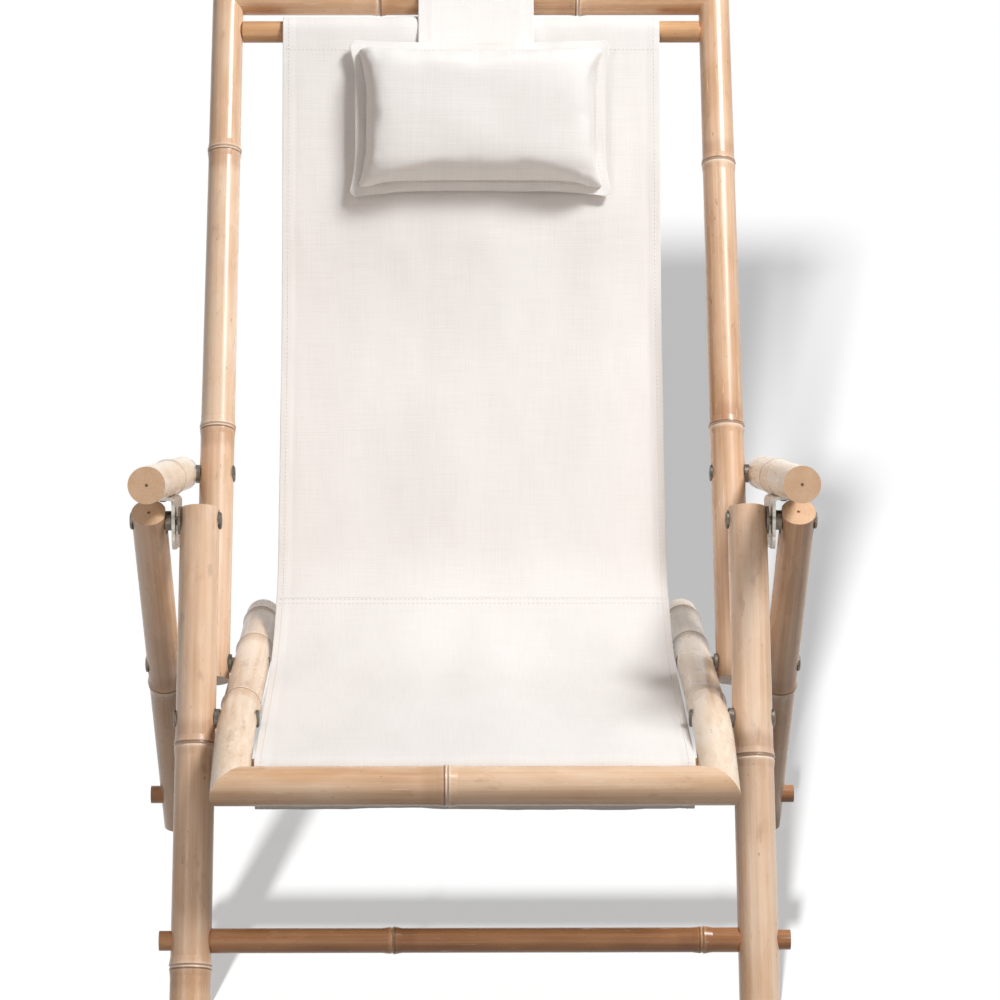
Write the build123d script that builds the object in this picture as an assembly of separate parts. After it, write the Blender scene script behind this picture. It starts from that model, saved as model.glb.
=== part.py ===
"""Folding bamboo beach chair: A-frame legs, lift-off seat frame, hooked recline and a canvas sling.

Millimetres, +Z up. The sitter faces -Y, so the sitter's left side is +X.
While building, Y counts from the centre of the front feet. The finished chair is then moved so
that the origin lies under the middle of its box, on the floor.
"""
import os
from math import atan2, cos, radians, sin, tan

from build123d import *

# Side view: where the canes cross
leg_joint_height = 382.0
leg_joint_setback = 219.0
foot_spread = 462.0
seat_pivot_height = 222.0
back_pivot_height = 213.0
back_lean = 33.4
back_height = 712.0
back_rod_height = 675.0
arm_slope = 12.0
arm_rise = 36.7

# Canes
front_leg_radius = 18.0
rear_leg_radius = 16.0
leg_top_length = 11.0
stile_foot_radius = 17.0
stile_top_radius = 15.8
stile_foot_length = 17.0
arm_radius = 16.5
arm_front_length = 348.0
arm_rear_length = 20.0
seat_rail_radius = 17.25
seat_rail_rear_length = 195.0
seat_bend_lead = 45.0
seat_bend_radius = 200.0
seat_front_y = 12.0
seat_front_height = 198.0

# Layers across the chair, from the sling outwards
sling_width = 385.0
sling_side_gap = 2.25
seat_leg_gap = 2.75
leg_gap = 12.0
bracket_side_gap = 3.5
seat_rail_offset = sling_width / 2 + sling_side_gap + seat_rail_radius
leg_offset = seat_rail_offset + seat_rail_radius + seat_leg_gap + front_leg_radius
rear_leg_offset = leg_offset + front_leg_radius + leg_gap + rear_leg_radius

# Round rods with turned ends
stretcher_radius = 11.0
stretcher_end_radius = 8.8
stretcher_end_length = 10.0
front_stretcher_height = 49.0
rear_stretcher_height = 43.0
sling_rod_radius = 11.0
sling_rod_end_radius = 6.0
sling_rod_end_length = 14.0
seat_rod_y = 46.0
seat_rod_height = 200.0
shoulder_gap = 0.1

# Rings at the nodes of the canes
scar_height = 0.9
groove_height = 0.2
ridge_height = 1.3
ring_step = 1.6
ring_reach = 9.0
left_leg_nodes = (218.0,)
right_leg_nodes = (33.0, 230.0)
left_rear_leg_nodes = (222.0,)
right_rear_leg_nodes = (226.0,)
left_stile_nodes = (257.0, 541.0)
right_stile_nodes = (257.0, 556.0)
left_rail_nodes = (30.0, 140.0, 346.0)
right_rail_nodes = (34.0, 146.0, 352.0)
front_rail_nodes = (-24.0,)
top_rail_nodes = (155.0, 360.0)
front_stretcher_nodes = (159.0, 432.0)
rear_stretcher_nodes = (130.0, 390.0)
sling_rod_nodes = (60.0, 330.0)
arm_nodes = (210.0,)

# Dowels across the mitred corners
dowel_radius = 3.5
dowel_half_length = 13.0

# Bolts, nuts and washers
bolt_radius = 4.0
running_gap = 0.05
face_gap = 0.3
spot_depth = 1.2
spot_margin = 0.6
head_radius = 8.0
head_height = 2.6
head_crown = 0.8
socket_radius = 2.6
socket_depth = 1.4
nut_height = 3.2
nut_grip = 2.2
washer_radius = 9.0
washer_bore_gap = 0.25
arm_washer_height = 4.6
joint_washer_radius = 13.0
joint_washer_height = 2.5
saddle_pin_radius = 6.0
saddle_pin_length = 34.0
saddle_flange_height = 2.8
saddle_mouth_radius = 10.0

# Fold motion: degrees per degree of the joint that leads
seat_lift_ratio = 1.2
arm_lift_ratio = 2.2
fold_look_ahead = 5.0

# Steel hook bracket under each armrest
bracket_sheet = 3.0
bracket_flat_height = 15.0
bracket_flange_width = 18.0
bracket_bend_radius = 2.0
bracket_front_margin = 17.0
bracket_rear_margin = 16.0
bracket_drop = 26.0
bracket_corner_radius = 11.0
notch_count = 3
notch_pitch = 24.0
notch_mouth_radius = 6.6
screw_radius = 2.0
screw_length = 12.0
screw_head_radius = 3.8
screw_head_height = 2.2
screw_places = (20.0, 50.0)

# Canvas sling
sling_sheet = 1.6
sling_gap = 0.3
sling_bow_y = 590.0
sling_bow_height = 500.0
sling_bow_radius = 600.0
sling_heel_y = 445.0
sling_heel_height = 262.0
sling_heel_radius = 110.0
sling_sag_y = 330.0
sling_sag_height = 216.0
sling_sag_radius = 300.0
seam_lead = 1.0
hem_drop = 20.0

# Head pillow and its strap
pillow_width = 272.0
pillow_height = 164.0
pillow_flange = 12.0
pillow_flange_sheet = 2.4
pillow_draw_in = 6.0
pillow_place = 96.0
pillow_offset = 9.0
pillow_layers = ((-12.0, 0.62), (-8.5, 0.88), (0.0, 1.0), (15.0, 0.93), (27.0, 0.7), (33.0, 0.34))
strap_width = 118.0
strap_offset = 5.0


def side(y, z):
    """Point in the chair's middle plane."""
    return Vector(0, y, z)


def across(point, x):
    """The same side-view point, moved out to x."""
    return Vector(x, point.Y, point.Z)


def turned(point, centre, degrees_up):
    """Side-view point turned about centre; positive lifts what lies behind the centre."""
    angle = radians(degrees_up)
    arm = point - centre
    return side(
        centre.Y + arm.Y * cos(angle) - arm.Z * sin(angle),
        centre.Z + arm.Y * sin(angle) + arm.Z * cos(angle),
    )


# Side-view axes and pivots
front_foot = side(0, 0)
rear_foot = side(foot_spread, 0)
leg_joint = side(leg_joint_setback, leg_joint_height)
front_leg_dir = (leg_joint - front_foot).normalized()
rear_leg_dir = (leg_joint - rear_foot).normalized()
seat_pivot = front_foot + front_leg_dir * (seat_pivot_height / front_leg_dir.Z)
back_pivot = rear_foot + rear_leg_dir * (back_pivot_height / rear_leg_dir.Z)
stile_dir = side(sin(radians(back_lean)), cos(radians(back_lean)))
arm_dir = side(cos(radians(arm_slope)), -sin(radians(arm_slope)))
arm_line = leg_joint + side(-arm_dir.Z, arm_dir.Y) * arm_rise
arm_pivot_height = (arm_line - back_pivot).cross(arm_dir).X / stile_dir.cross(arm_dir).X
arm_pivot = back_pivot + stile_dir * arm_pivot_height
top_corner = back_pivot + stile_dir * back_height
back_rod = back_pivot + stile_dir * back_rod_height
front_stretcher_place = front_foot + front_leg_dir * (front_stretcher_height / front_leg_dir.Z)
rear_stretcher_place = rear_foot + rear_leg_dir * (rear_stretcher_height / rear_leg_dir.Z)
seat_rod = side(seat_rod_y, seat_rod_height)
rail_dir = (back_pivot - seat_pivot).normalized()
rail_rear = back_pivot + rail_dir * seat_rail_rear_length
rail_bend = seat_pivot - rail_dir * seat_bend_lead
seat_corner = side(seat_front_y, seat_front_height)
rail_nose_dir = (seat_corner - rail_bend).normalized()

# Flats that the washers and bolt heads seat on
stile_length = stile_foot_length + back_height


def stile_radius(height):
    """Radius of a back stile at a height above its pivot."""
    share = (height + stile_foot_length) / stile_length
    return stile_foot_radius + (stile_top_radius - stile_foot_radius) * share


leg_outer_flat = leg_offset + front_leg_radius - spot_depth
leg_inner_flat = leg_offset - front_leg_radius + spot_depth
rear_outer_flat = rear_leg_offset + rear_leg_radius - spot_depth
rear_inner_flat = rear_leg_offset - rear_leg_radius + spot_depth
rail_outer_flat = seat_rail_offset + seat_rail_radius - spot_depth
rail_inner_flat = seat_rail_offset - seat_rail_radius + spot_depth
stile_outer_flat = leg_offset + stile_radius(0) - spot_depth
stile_inner_flat = leg_offset - stile_radius(0) + spot_depth
arm_seat_outer_flat = leg_offset + stile_radius(arm_pivot_height) - spot_depth
arm_seat_inner_flat = leg_offset - stile_radius(arm_pivot_height) + spot_depth
arm_inner_flat = arm_seat_outer_flat + arm_washer_height + face_gap
arm_offset = arm_inner_flat - spot_depth + arm_radius
arm_outer_flat = arm_offset + arm_radius - spot_depth
bracket_inner_offset = leg_offset + front_leg_radius + bracket_side_gap
bracket_outer_offset = bracket_inner_offset + bracket_sheet
hole_radius = bolt_radius + running_gap


def rod_between(start, finish, radius):
    """Plain round bar between two points."""
    return Solid.make_cylinder(radius, (finish - start).length, Plane(start, z_dir=finish - start))


def cross_bar(point, inner_x, outer_x, radius):
    """Plain round bar along X at a side-view point."""
    return rod_between(across(point, inner_x), across(point, outer_x), radius)


def ring_points(radius, place):
    """Half outline of a node: leaf scar, groove and ridge."""
    return [
        (radius, place - ring_reach),
        (radius + scar_height, place - ring_step),
        (radius + groove_height, place),
        (radius + ridge_height, place + ring_step),
        (radius, place + ring_reach),
    ]


def cane(start, finish, start_radius, finish_radius, node_places):
    """Straight tapered cane with a ring at each node, counted from its start."""
    length = (finish - start).length

    def radius(place):
        return start_radius + (finish_radius - start_radius) * place / length

    outline = [(0, 0), (start_radius, 0)]
    for place in node_places:
        outline += ring_points(radius(place), place)
    outline += [(finish_radius, length), (0, length)]
    solid = revolve(make_face(Plane.XZ * Polyline(*outline, close=True)), Axis.Z)
    return Plane(start, z_dir=finish - start) * solid


def spot_face(point, flat_x, far_x, radius):
    """Cutter for the flat that a washer or bolt head seats on."""
    return cross_bar(point, flat_x, far_x, radius + spot_margin)


def mitre(solid, corner, arriving, leaving, keep):
    """Cut a cane on the plane that halves the corner between two directions."""
    return split(solid, bisect_by=Plane(corner, z_dir=arriving + leaving), keep=keep)


def corner_dowel(corner, arriving, leaving, radius):
    """Dowel square to a mitre, half in each cane."""
    reach = (arriving + leaving).normalized() * dowel_half_length
    return rod_between(corner - reach, corner + reach, radius)


def opening_slot(closed_end, mouth, end_radius, mouth_radius):
    """Sketch of a slot that widens from its closed end to its mouth, as (x, y) points."""
    run = (mouth - closed_end).normalized()
    edge = Vector(-run.Y, run.X)
    flanks = make_face(
        Polyline(
            closed_end + edge * end_radius,
            mouth + edge * mouth_radius,
            mouth - edge * mouth_radius,
            closed_end - edge * end_radius,
            close=True,
        )
    )
    ends = Pos(*closed_end) * Circle(end_radius) + Pos(*mouth) * Circle(mouth_radius)
    return flanks + ends


def both_sides(solid):
    """A pair: the solid at +X and its mirror at -X."""
    return [solid, mirror(solid, about=Plane.YZ)]


# Leg frames


def front_leg(node_places):
    """Front leg at +X: floor cut, joint hole, seat pivot hole and stretcher hole."""
    start = across(front_foot - front_leg_dir * (2 * front_leg_radius), leg_offset)
    finish = across(leg_joint + front_leg_dir * leg_top_length, leg_offset)
    places = [place + 2 * front_leg_radius for place in node_places]
    leg = cane(start, finish, front_leg_radius, front_leg_radius, places)
    leg = split(leg, bisect_by=Plane.XY, keep=Keep.TOP)
    inner = leg_offset - 2 * front_leg_radius
    outer = leg_offset + 2 * front_leg_radius
    for pivot in (leg_joint, seat_pivot):
        leg -= cross_bar(pivot, inner, outer, hole_radius)
        leg -= spot_face(pivot, leg_inner_flat, inner, washer_radius)
    leg -= spot_face(leg_joint, leg_outer_flat, outer, joint_washer_radius)
    leg -= spot_face(seat_pivot, leg_outer_flat, outer, head_radius)
    leg -= cross_bar(front_stretcher_place, inner, outer, stretcher_end_radius + running_gap)
    return leg


def rear_leg(node_places):
    """Rear leg at +X, outside the front leg."""
    start = across(rear_foot - rear_leg_dir * (2 * rear_leg_radius), rear_leg_offset)
    finish = across(leg_joint + rear_leg_dir * leg_top_length, rear_leg_offset)
    places = [place + 2 * rear_leg_radius for place in node_places]
    leg = cane(start, finish, rear_leg_radius, rear_leg_radius, places)
    leg = split(leg, bisect_by=Plane.XY, keep=Keep.TOP)
    inner = rear_leg_offset - 2 * rear_leg_radius
    outer = rear_leg_offset + 2 * rear_leg_radius
    for pivot in (leg_joint, back_pivot):
        leg -= cross_bar(pivot, inner, outer, hole_radius)
        leg -= spot_face(pivot, rear_outer_flat, outer, head_radius)
        leg -= spot_face(pivot, rear_inner_flat, inner, joint_washer_radius)
    leg -= cross_bar(rear_stretcher_place, inner, outer, stretcher_end_radius + running_gap)
    return leg


def shouldered_rod(place, shoulder_x, end_x, radius, end_radius, node_places):
    """Rod along X with turned-down ends that pass into the canes."""
    shoulder_x -= shoulder_gap
    rod = cane(across(place, -shoulder_x), across(place, shoulder_x), radius, radius, node_places)
    return rod + cross_bar(place, -end_x, end_x, end_radius)


def front_stretcher():
    """Front stretcher, its ends standing out of the front legs."""
    return shouldered_rod(
        front_stretcher_place,
        leg_offset - front_leg_radius,
        leg_offset + front_leg_radius + stretcher_end_length,
        stretcher_radius,
        stretcher_end_radius,
        front_stretcher_nodes,
    )


def rear_stretcher():
    """Rear stretcher, its ends standing out of the rear legs."""
    return shouldered_rod(
        rear_stretcher_place,
        rear_leg_offset - rear_leg_radius,
        rear_leg_offset + rear_leg_radius + stretcher_end_length,
        stretcher_radius,
        stretcher_end_radius,
        rear_stretcher_nodes,
    )


# Seat frame


def seat_turn():
    """Directions into and out of the +X front corner of the seat frame."""
    return rail_nose_dir, Vector(-1, 0, 0)


def saddle_path_end():
    """Where the saddle pin stands in the seat's own frame once the fold has begun."""
    pin = turned(back_pivot, leg_joint, -fold_look_ahead)
    return turned(pin, seat_pivot, -fold_look_ahead * seat_lift_ratio)


def seat_rail(node_places):
    """Bent side rail at +X, mitred in front and notched to drop over the saddle pin."""
    rear, bend, nose = (across(point, seat_rail_offset) for point in (rail_rear, rail_bend, seat_corner))
    overrun = nose + rail_nose_dir * (2 * seat_rail_radius)
    path = FilletPolyline(rear, bend, overrun, radius=seat_bend_radius)
    rail = sweep(Plane(rear, z_dir=-rail_dir) * Circle(seat_rail_radius), path=path)
    core = seat_rail_radius - ring_step
    for place in node_places:
        outline = [(core, place - ring_reach)] + ring_points(seat_rail_radius, place)
        outline.append((core, place + ring_reach))
        ring = revolve(make_face(Plane.XZ * Polyline(*outline, close=True)), Axis.Z)
        rail += Plane(rear, z_dir=-rail_dir) * ring
    arriving, leaving = seat_turn()
    rail = mitre(rail, nose, arriving, leaving, Keep.BOTTOM)
    rail -= corner_dowel(nose, arriving, leaving, dowel_radius + running_gap)
    inner = seat_rail_offset - 2 * seat_rail_radius
    outer = seat_rail_offset + 2 * seat_rail_radius
    rail -= cross_bar(seat_pivot, inner, outer, hole_radius)
    rail -= spot_face(seat_pivot, rail_inner_flat, inner, head_radius)
    rail -= spot_face(seat_pivot, rail_outer_flat, outer, washer_radius)
    rod_end = seat_rail_offset - seat_rail_radius + sling_rod_end_length + face_gap
    rail -= cross_bar(seat_rod, inner, rod_end, sling_rod_end_radius + running_gap)
    mouth = saddle_path_end()
    slot = opening_slot(
        Vector(back_pivot.Y, back_pivot.Z),
        Vector(mouth.Y, mouth.Z),
        saddle_pin_radius + face_gap,
        saddle_mouth_radius,
    )
    rail -= extrude(Plane((inner, 0, 0), x_dir=(0, 1, 0), z_dir=(1, 0, 0)) * slot, outer - inner)
    return rail


def seat_front_rail():
    """Front rail of the seat, mitred to both side rails."""
    overrun = seat_rail_offset + 2 * seat_rail_radius
    places = [place + overrun for place in front_rail_nodes]
    rail = cane(
        across(seat_corner, -overrun),
        across(seat_corner, overrun),
        seat_rail_radius,
        seat_rail_radius,
        places,
    )
    arriving, leaving = seat_turn()
    corner = across(seat_corner, seat_rail_offset)
    for _ in range(2):
        rail = mitre(rail, corner, arriving, leaving, Keep.TOP)
        rail -= corner_dowel(corner, arriving, leaving, dowel_radius + running_gap)
        rail = mirror(rail, about=Plane.YZ)
    return rail


def seat_sling_rod():
    """Rod behind the front rail that holds the front hem of the sling."""
    shoulder = seat_rail_offset - seat_rail_radius
    return shouldered_rod(
        seat_rod,
        shoulder,
        shoulder + sling_rod_end_length,
        sling_rod_radius,
        sling_rod_end_radius,
        sling_rod_nodes,
    )


def seat_corner_dowels():
    """Dowels in the two front corners of the seat."""
    arriving, leaving = seat_turn()
    return both_sides(corner_dowel(across(seat_corner, seat_rail_offset), arriving, leaving, dowel_radius))


# Back frame


def back_stile(node_places):
    """Back stile at +X, mitred at the top."""
    start = across(back_pivot - stile_dir * stile_foot_length, leg_offset)
    top = across(top_corner, leg_offset)
    overrun = 2 * stile_top_radius
    slope = (stile_top_radius - stile_foot_radius) / stile_length
    stile = cane(
        start,
        top + stile_dir * overrun,
        stile_foot_radius,
        stile_top_radius + slope * overrun,
        node_places,
    )
    leaving = Vector(-1, 0, 0)
    stile = mitre(stile, top, stile_dir, leaving, Keep.BOTTOM)
    stile -= corner_dowel(top, stile_dir, leaving, dowel_radius + running_gap)
    inner = leg_offset - 2 * stile_foot_radius
    outer = leg_offset + 2 * stile_foot_radius
    stile -= cross_bar(back_pivot, inner, outer, hole_radius)
    stile -= spot_face(back_pivot, stile_inner_flat, inner, washer_radius)
    stile -= spot_face(back_pivot, stile_outer_flat, outer, joint_washer_radius)
    stile -= cross_bar(arm_pivot, inner, outer, hole_radius)
    stile -= spot_face(arm_pivot, arm_seat_inner_flat, inner, head_radius)
    stile -= spot_face(arm_pivot, arm_seat_outer_flat, outer, washer_radius)
    rod_end = leg_offset - stile_radius(back_rod_height) + sling_rod_end_length + face_gap
    stile -= cross_bar(back_rod, inner, rod_end, sling_rod_end_radius + running_gap)
    return stile


def back_top_rail():
    """Top rail of the back, mitred to both stiles."""
    overrun = leg_offset + 2 * stile_top_radius
    places = [place + 2 * stile_top_radius for place in top_rail_nodes]
    rail = cane(
        across(top_corner, -overrun),
        across(top_corner, overrun),
        stile_top_radius,
        stile_top_radius,
        places,
    )
    corner = across(top_corner, leg_offset)
    leaving = Vector(-1, 0, 0)
    for _ in range(2):
        rail = mitre(rail, corner, stile_dir, leaving, Keep.TOP)
        rail -= corner_dowel(corner, stile_dir, leaving, dowel_radius + running_gap)
        rail = mirror(rail, about=Plane.YZ)
    return rail


def back_sling_rod():
    """Rod under the top rail that holds the top hem of the sling."""
    shoulder = leg_offset - stile_radius(back_rod_height)
    return shouldered_rod(
        back_rod,
        shoulder,
        shoulder + sling_rod_end_length,
        sling_rod_radius,
        sling_rod_end_radius,
        sling_rod_nodes,
    )


def back_corner_dowels():
    """Dowels in the two top corners of the back."""
    return both_sides(
        corner_dowel(across(top_corner, leg_offset), stile_dir, Vector(-1, 0, 0), dowel_radius)
    )


# Armrests, worked in a frame that runs back along the arm, up from it and out to +X

arm_plane = Plane(
    arm_pivot,
    x_dir=arm_dir,
    z_dir=(1, 0, 0),
)


def in_arm_frame(point):
    """Side-view point as a place along and above the armrest."""
    local = arm_plane.to_local_coords(point)
    return Vector(local.X, local.Y)


hook_place = in_arm_frame(leg_joint)
bracket_start = hook_place.X - bracket_front_margin
bracket_length = bracket_front_margin + notch_pitch * (notch_count - 1) + bracket_rear_margin


def hook_path_end():
    """Where the joint bolt stands in the arm's frame once the back has begun to fold."""
    bolt = turned(leg_joint, back_pivot, -fold_look_ahead)
    return in_arm_frame(turned(bolt, arm_pivot, fold_look_ahead * arm_lift_ratio))


def armrest():
    """Armrest at +X with a pivot hole and a flat for its bracket."""
    arm = cane(
        Vector(-arm_front_length, 0, arm_offset),
        Vector(arm_rear_length, 0, arm_offset),
        arm_radius,
        arm_radius,
        arm_nodes,
    )
    flat_length = bracket_length + 2 * spot_margin
    flat = Box(flat_length, arm_radius, 4 * arm_radius)
    middle = bracket_start + bracket_length / 2
    arm -= Pos(middle, -bracket_flat_height - arm_radius / 2, arm_offset) * flat
    for place in screw_places:
        arm -= Pos(*screw_seat(place)) * Rot(-90, 0, 0) * Cylinder(
            screw_radius, screw_length, align=(Align.CENTER, Align.CENTER, Align.MIN)
        )
    arm = arm_plane * arm
    inner = arm_offset - 2 * arm_radius
    outer = arm_offset + 2 * arm_radius
    arm -= cross_bar(arm_pivot, inner, outer, hole_radius)
    arm -= spot_face(arm_pivot, arm_inner_flat, inner, washer_radius)
    arm -= spot_face(arm_pivot, arm_outer_flat, outer, head_radius)
    return arm


def screw_seat(place):
    """Arm-frame point on the underside of the bracket's flange where a screw goes in."""
    return Vector(hook_place.X + place, -bracket_flat_height - bracket_sheet, arm_offset)


def arm_bracket():
    """Bent steel bracket at +X: a flange under the arm and a hanging leaf with slanted notches."""
    top = -bracket_flat_height
    bottom = hook_place.Y - bracket_drop
    flange_edge = bracket_outer_offset + bracket_flange_width
    angle = make_face(
        Polyline(
            (bracket_inner_offset, bottom),
            (bracket_inner_offset, top),
            (flange_edge, top),
            (flange_edge, top - bracket_sheet),
            (bracket_outer_offset, top - bracket_sheet),
            (bracket_outer_offset, bottom),
            close=True,
        )
    )
    bend = angle.vertices().sort_by_distance(Vector(bracket_outer_offset, top - bracket_sheet))[0]
    angle = fillet(bend, bracket_bend_radius)
    heel = angle.vertices().sort_by_distance(Vector(bracket_inner_offset, top))[0]
    angle = fillet(heel, bracket_bend_radius + bracket_sheet)
    profile_plane = Plane((bracket_start, 0, 0), x_dir=(0, 0, 1), z_dir=(-1, 0, 0))
    bracket = extrude(profile_plane * angle, -bracket_length)
    lower_corners = bracket.edges().filter_by(Axis.Z).group_by(Axis.Y)[0]
    bracket = fillet(lower_corners, bracket_corner_radius)
    mouth = hook_path_end()
    for index in range(notch_count):
        shift = Vector(index * notch_pitch, 0)
        notch = opening_slot(
            hook_place + shift, mouth + shift, bolt_radius + face_gap, notch_mouth_radius
        )
        cutter = extrude(Plane((0, 0, bracket_inner_offset - bracket_sheet)) * notch, 3 * bracket_sheet)
        bracket -= cutter
    for place in screw_places:
        bracket -= Pos(*screw_seat(place)) * Rot(-90, 0, 0) * Cylinder(
            screw_radius + running_gap, 3 * bracket_sheet
        )
    return arm_plane * bracket


def bracket_screws():
    """Two pan-head wood screws at +X that hold the bracket to the arm."""
    outline = Polyline(
        (0, -screw_head_height),
        (screw_head_radius - screw_head_height / 2, -screw_head_height),
        (screw_head_radius, -screw_head_height / 2),
        (screw_head_radius, 0),
        (screw_radius - running_gap, 0),
        (screw_radius - running_gap, screw_length - screw_radius),
        (0, screw_length - running_gap),
        close=True,
    )
    screw = revolve(make_face(Plane.XZ * outline), Axis.Z)
    return [arm_plane * (Pos(*screw_seat(place)) * Rot(-90, 0, 0) * screw) for place in screw_places]


# Hardware along X at +X


def disc_head(point, seat_x, outward, height):
    """Low domed disc seated at seat_x; outward is +1 or -1 along X."""
    outline = Polyline(
        (0, 0),
        (head_radius, 0),
        (head_radius, height - head_crown),
        (head_radius - 2 * head_crown, height),
        (0, height),
        close=True,
    )
    head = revolve(make_face(Plane.XZ * outline), Axis.Z)
    socket = extrude(Plane((0, 0, height - socket_depth)) * RegularPolygon(socket_radius, 6), socket_depth)
    return Plane(across(point, seat_x), z_dir=(outward, 0, 0)) * (head - socket)


def bolt(point, seat_x, tip_x):
    """Bolt at +X from its head's seat to its tip."""
    outward = 1 if seat_x > tip_x else -1
    return disc_head(point, seat_x, outward, head_height) + cross_bar(point, tip_x, seat_x, bolt_radius)


def nut(point, seat_x, outward):
    """Low cap nut seated at seat_x, with a blind bore for the bolt's tip."""
    solid = disc_head(point, seat_x, outward, nut_height)
    bore_end = seat_x + outward * (nut_grip + face_gap / 2)
    solid = solid + cross_bar(point, seat_x, seat_x + outward * (nut_height - head_crown), socket_radius + 1)
    return solid - cross_bar(point, seat_x, bore_end, hole_radius)


def ring(point, inner_x, outer_x, radius):
    """Washer or spacer round a bolt."""
    bore = bolt_radius + washer_bore_gap
    return cross_bar(point, inner_x, outer_x, radius) - cross_bar(point, inner_x, outer_x, bore)


def leg_joint_bolts():
    """Bolts that pin each rear leg to its front leg and catch the arm brackets."""
    return both_sides(bolt(leg_joint, rear_outer_flat + face_gap, leg_inner_flat - nut_grip))


def leg_joint_nuts():
    """Cap nuts on the inner faces of the front legs."""
    return both_sides(nut(leg_joint, leg_inner_flat, -1))


def leg_joint_washers():
    """Large washers between the front legs and the brackets."""
    return both_sides(
        ring(leg_joint, leg_outer_flat, leg_outer_flat + joint_washer_height, joint_washer_radius)
    )


def leg_joint_spacers():
    """Bushes between the brackets and the rear legs."""
    return both_sides(
        ring(leg_joint, bracket_outer_offset + face_gap, rear_inner_flat - face_gap, washer_radius)
    )


def seat_pivot_bolts():
    """Bolts that pin the seat rails to the front legs."""
    return both_sides(bolt(seat_pivot, rail_inner_flat - face_gap, leg_outer_flat + nut_grip))


def seat_pivot_nuts():
    """Cap nuts on the outer faces of the front legs."""
    return both_sides(nut(seat_pivot, leg_outer_flat, 1))


def seat_pivot_washers():
    """Washers between the seat rails and the front legs."""
    return both_sides(ring(seat_pivot, rail_outer_flat + face_gap, leg_inner_flat, washer_radius))


def back_pivot_bolts():
    """Bolts that pin the back stiles to the rear legs."""
    return both_sides(bolt(back_pivot, rear_outer_flat, saddle_tip_x() + nut_grip))


def saddle_tip_x():
    """Inner end of the saddle pins."""
    return stile_inner_flat - face_gap - saddle_flange_height - saddle_pin_length


def saddle_pins():
    """Flanged sleeve nuts on the back pivots, which the seat rails hook over."""
    flange_x = stile_inner_flat - face_gap
    flange = cross_bar(back_pivot, flange_x - saddle_flange_height, flange_x, washer_radius)
    pin = flange + cross_bar(back_pivot, saddle_tip_x(), flange_x, saddle_pin_radius)
    bore_end = saddle_tip_x() + nut_grip - face_gap
    return both_sides(pin - cross_bar(back_pivot, bore_end, flange_x, hole_radius))


def back_pivot_spacers():
    """Bushes between the back stiles and the rear legs."""
    return both_sides(
        ring(back_pivot, stile_outer_flat + face_gap, rear_inner_flat, washer_radius)
    )


def arm_pivot_bolts():
    """Bolts that pin the armrests to the stiles, heads on the inner faces."""
    return both_sides(bolt(arm_pivot, arm_seat_inner_flat, arm_outer_flat + face_gap + nut_grip))


def arm_pivot_nuts():
    """Cap nuts outside the armrests."""
    return both_sides(nut(arm_pivot, arm_outer_flat + face_gap, 1))


def arm_pivot_washers():
    """Washers between the stiles and the armrests."""
    return both_sides(
        ring(arm_pivot, arm_seat_outer_flat, arm_seat_outer_flat + arm_washer_height, washer_radius)
    )


# Canvas sling: a back panel and a seat panel sewn together behind the sitter

hem_inner_radius = sling_rod_radius + ridge_height + sling_gap
hem_mid_radius = hem_inner_radius + sling_sheet / 2
sling_bow = side(sling_bow_y, sling_bow_height)
sling_heel = side(sling_heel_y, sling_heel_height)
sling_sag = side(sling_sag_y, sling_sag_height)
sling_drop_dir = (sling_bow - back_rod).normalized()
sling_front_dir = side(sling_drop_dir.Z, -sling_drop_dir.Y)
sling_top = back_rod + sling_front_dir * hem_mid_radius
bow_dir = (sling_bow - sling_top).normalized()
heel_dir = (sling_heel - sling_bow).normalized()
sag_dir = (sling_sag - sling_heel).normalized()
heel_turn = atan2(heel_dir.cross(sag_dir).length, heel_dir.dot(sag_dir))
seam = sling_heel + sag_dir * (sling_heel_radius * tan(heel_turn / 2) + seam_lead)
sling_front = side(seat_rod.Y, seat_rod.Z + hem_mid_radius)


def canvas_strip(path, width):
    """Strip of canvas along a side-view path, centred on the chair."""
    start = path @ 0
    section = Plane(start, x_dir=(1, 0, 0), z_dir=path % 0) * Rectangle(width, sling_sheet)
    return sweep(section, path=path)


def across_chair(sketch, width):
    """Extrude a side-view sketch, drawn as (y, z), evenly about the middle plane."""
    return extrude(Plane((-width / 2, 0, 0), x_dir=(0, 1, 0), z_dir=(1, 0, 0)) * sketch, width)


def sling_back_panel():
    """Back panel from the top rod down to the seam, with its round hem."""
    bends = (sling_bow_radius, sling_heel_radius)
    path = FilletPolyline(sling_top, sling_bow, sling_heel, seam, radius=bends)
    sheet = canvas_strip(path, sling_width)
    hem = Circle(hem_inner_radius + sling_sheet) - Circle(hem_inner_radius)
    return sheet + across_chair(Pos(back_rod.Y, back_rod.Z) * hem, sling_width)


def sling_seat_panel():
    """Seat panel from the seam to the front rod, with a loose hem that hangs below the rod."""
    sheet = canvas_strip(FilletPolyline(seam, sling_sag, sling_front, radius=sling_sag_radius), sling_width)
    outer = SlotCenterToCenter(hem_drop, 2 * (hem_inner_radius + sling_sheet))
    inner = SlotCenterToCenter(hem_drop, 2 * hem_inner_radius)
    hem = Pos(seat_rod.Y, seat_rod.Z - hem_drop / 2) * Rot(0, 0, 90) * (outer - inner)
    return sheet + across_chair(hem, sling_width)


# Head pillow, drawn in a plane that lies on the sling: X across, Y up the back, Z to the front

pillow_rest = -pillow_layers[0][0]
pillow_front_dir = side(bow_dir.Z, -bow_dir.Y)
pillow_centre = (
    sling_top + bow_dir * pillow_place + pillow_front_dir * (sling_sheet / 2 + sling_gap + pillow_rest)
)
pillow_plane = Plane(across(pillow_centre, pillow_offset), x_dir=(1, 0, 0), z_dir=pillow_front_dir)


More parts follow.
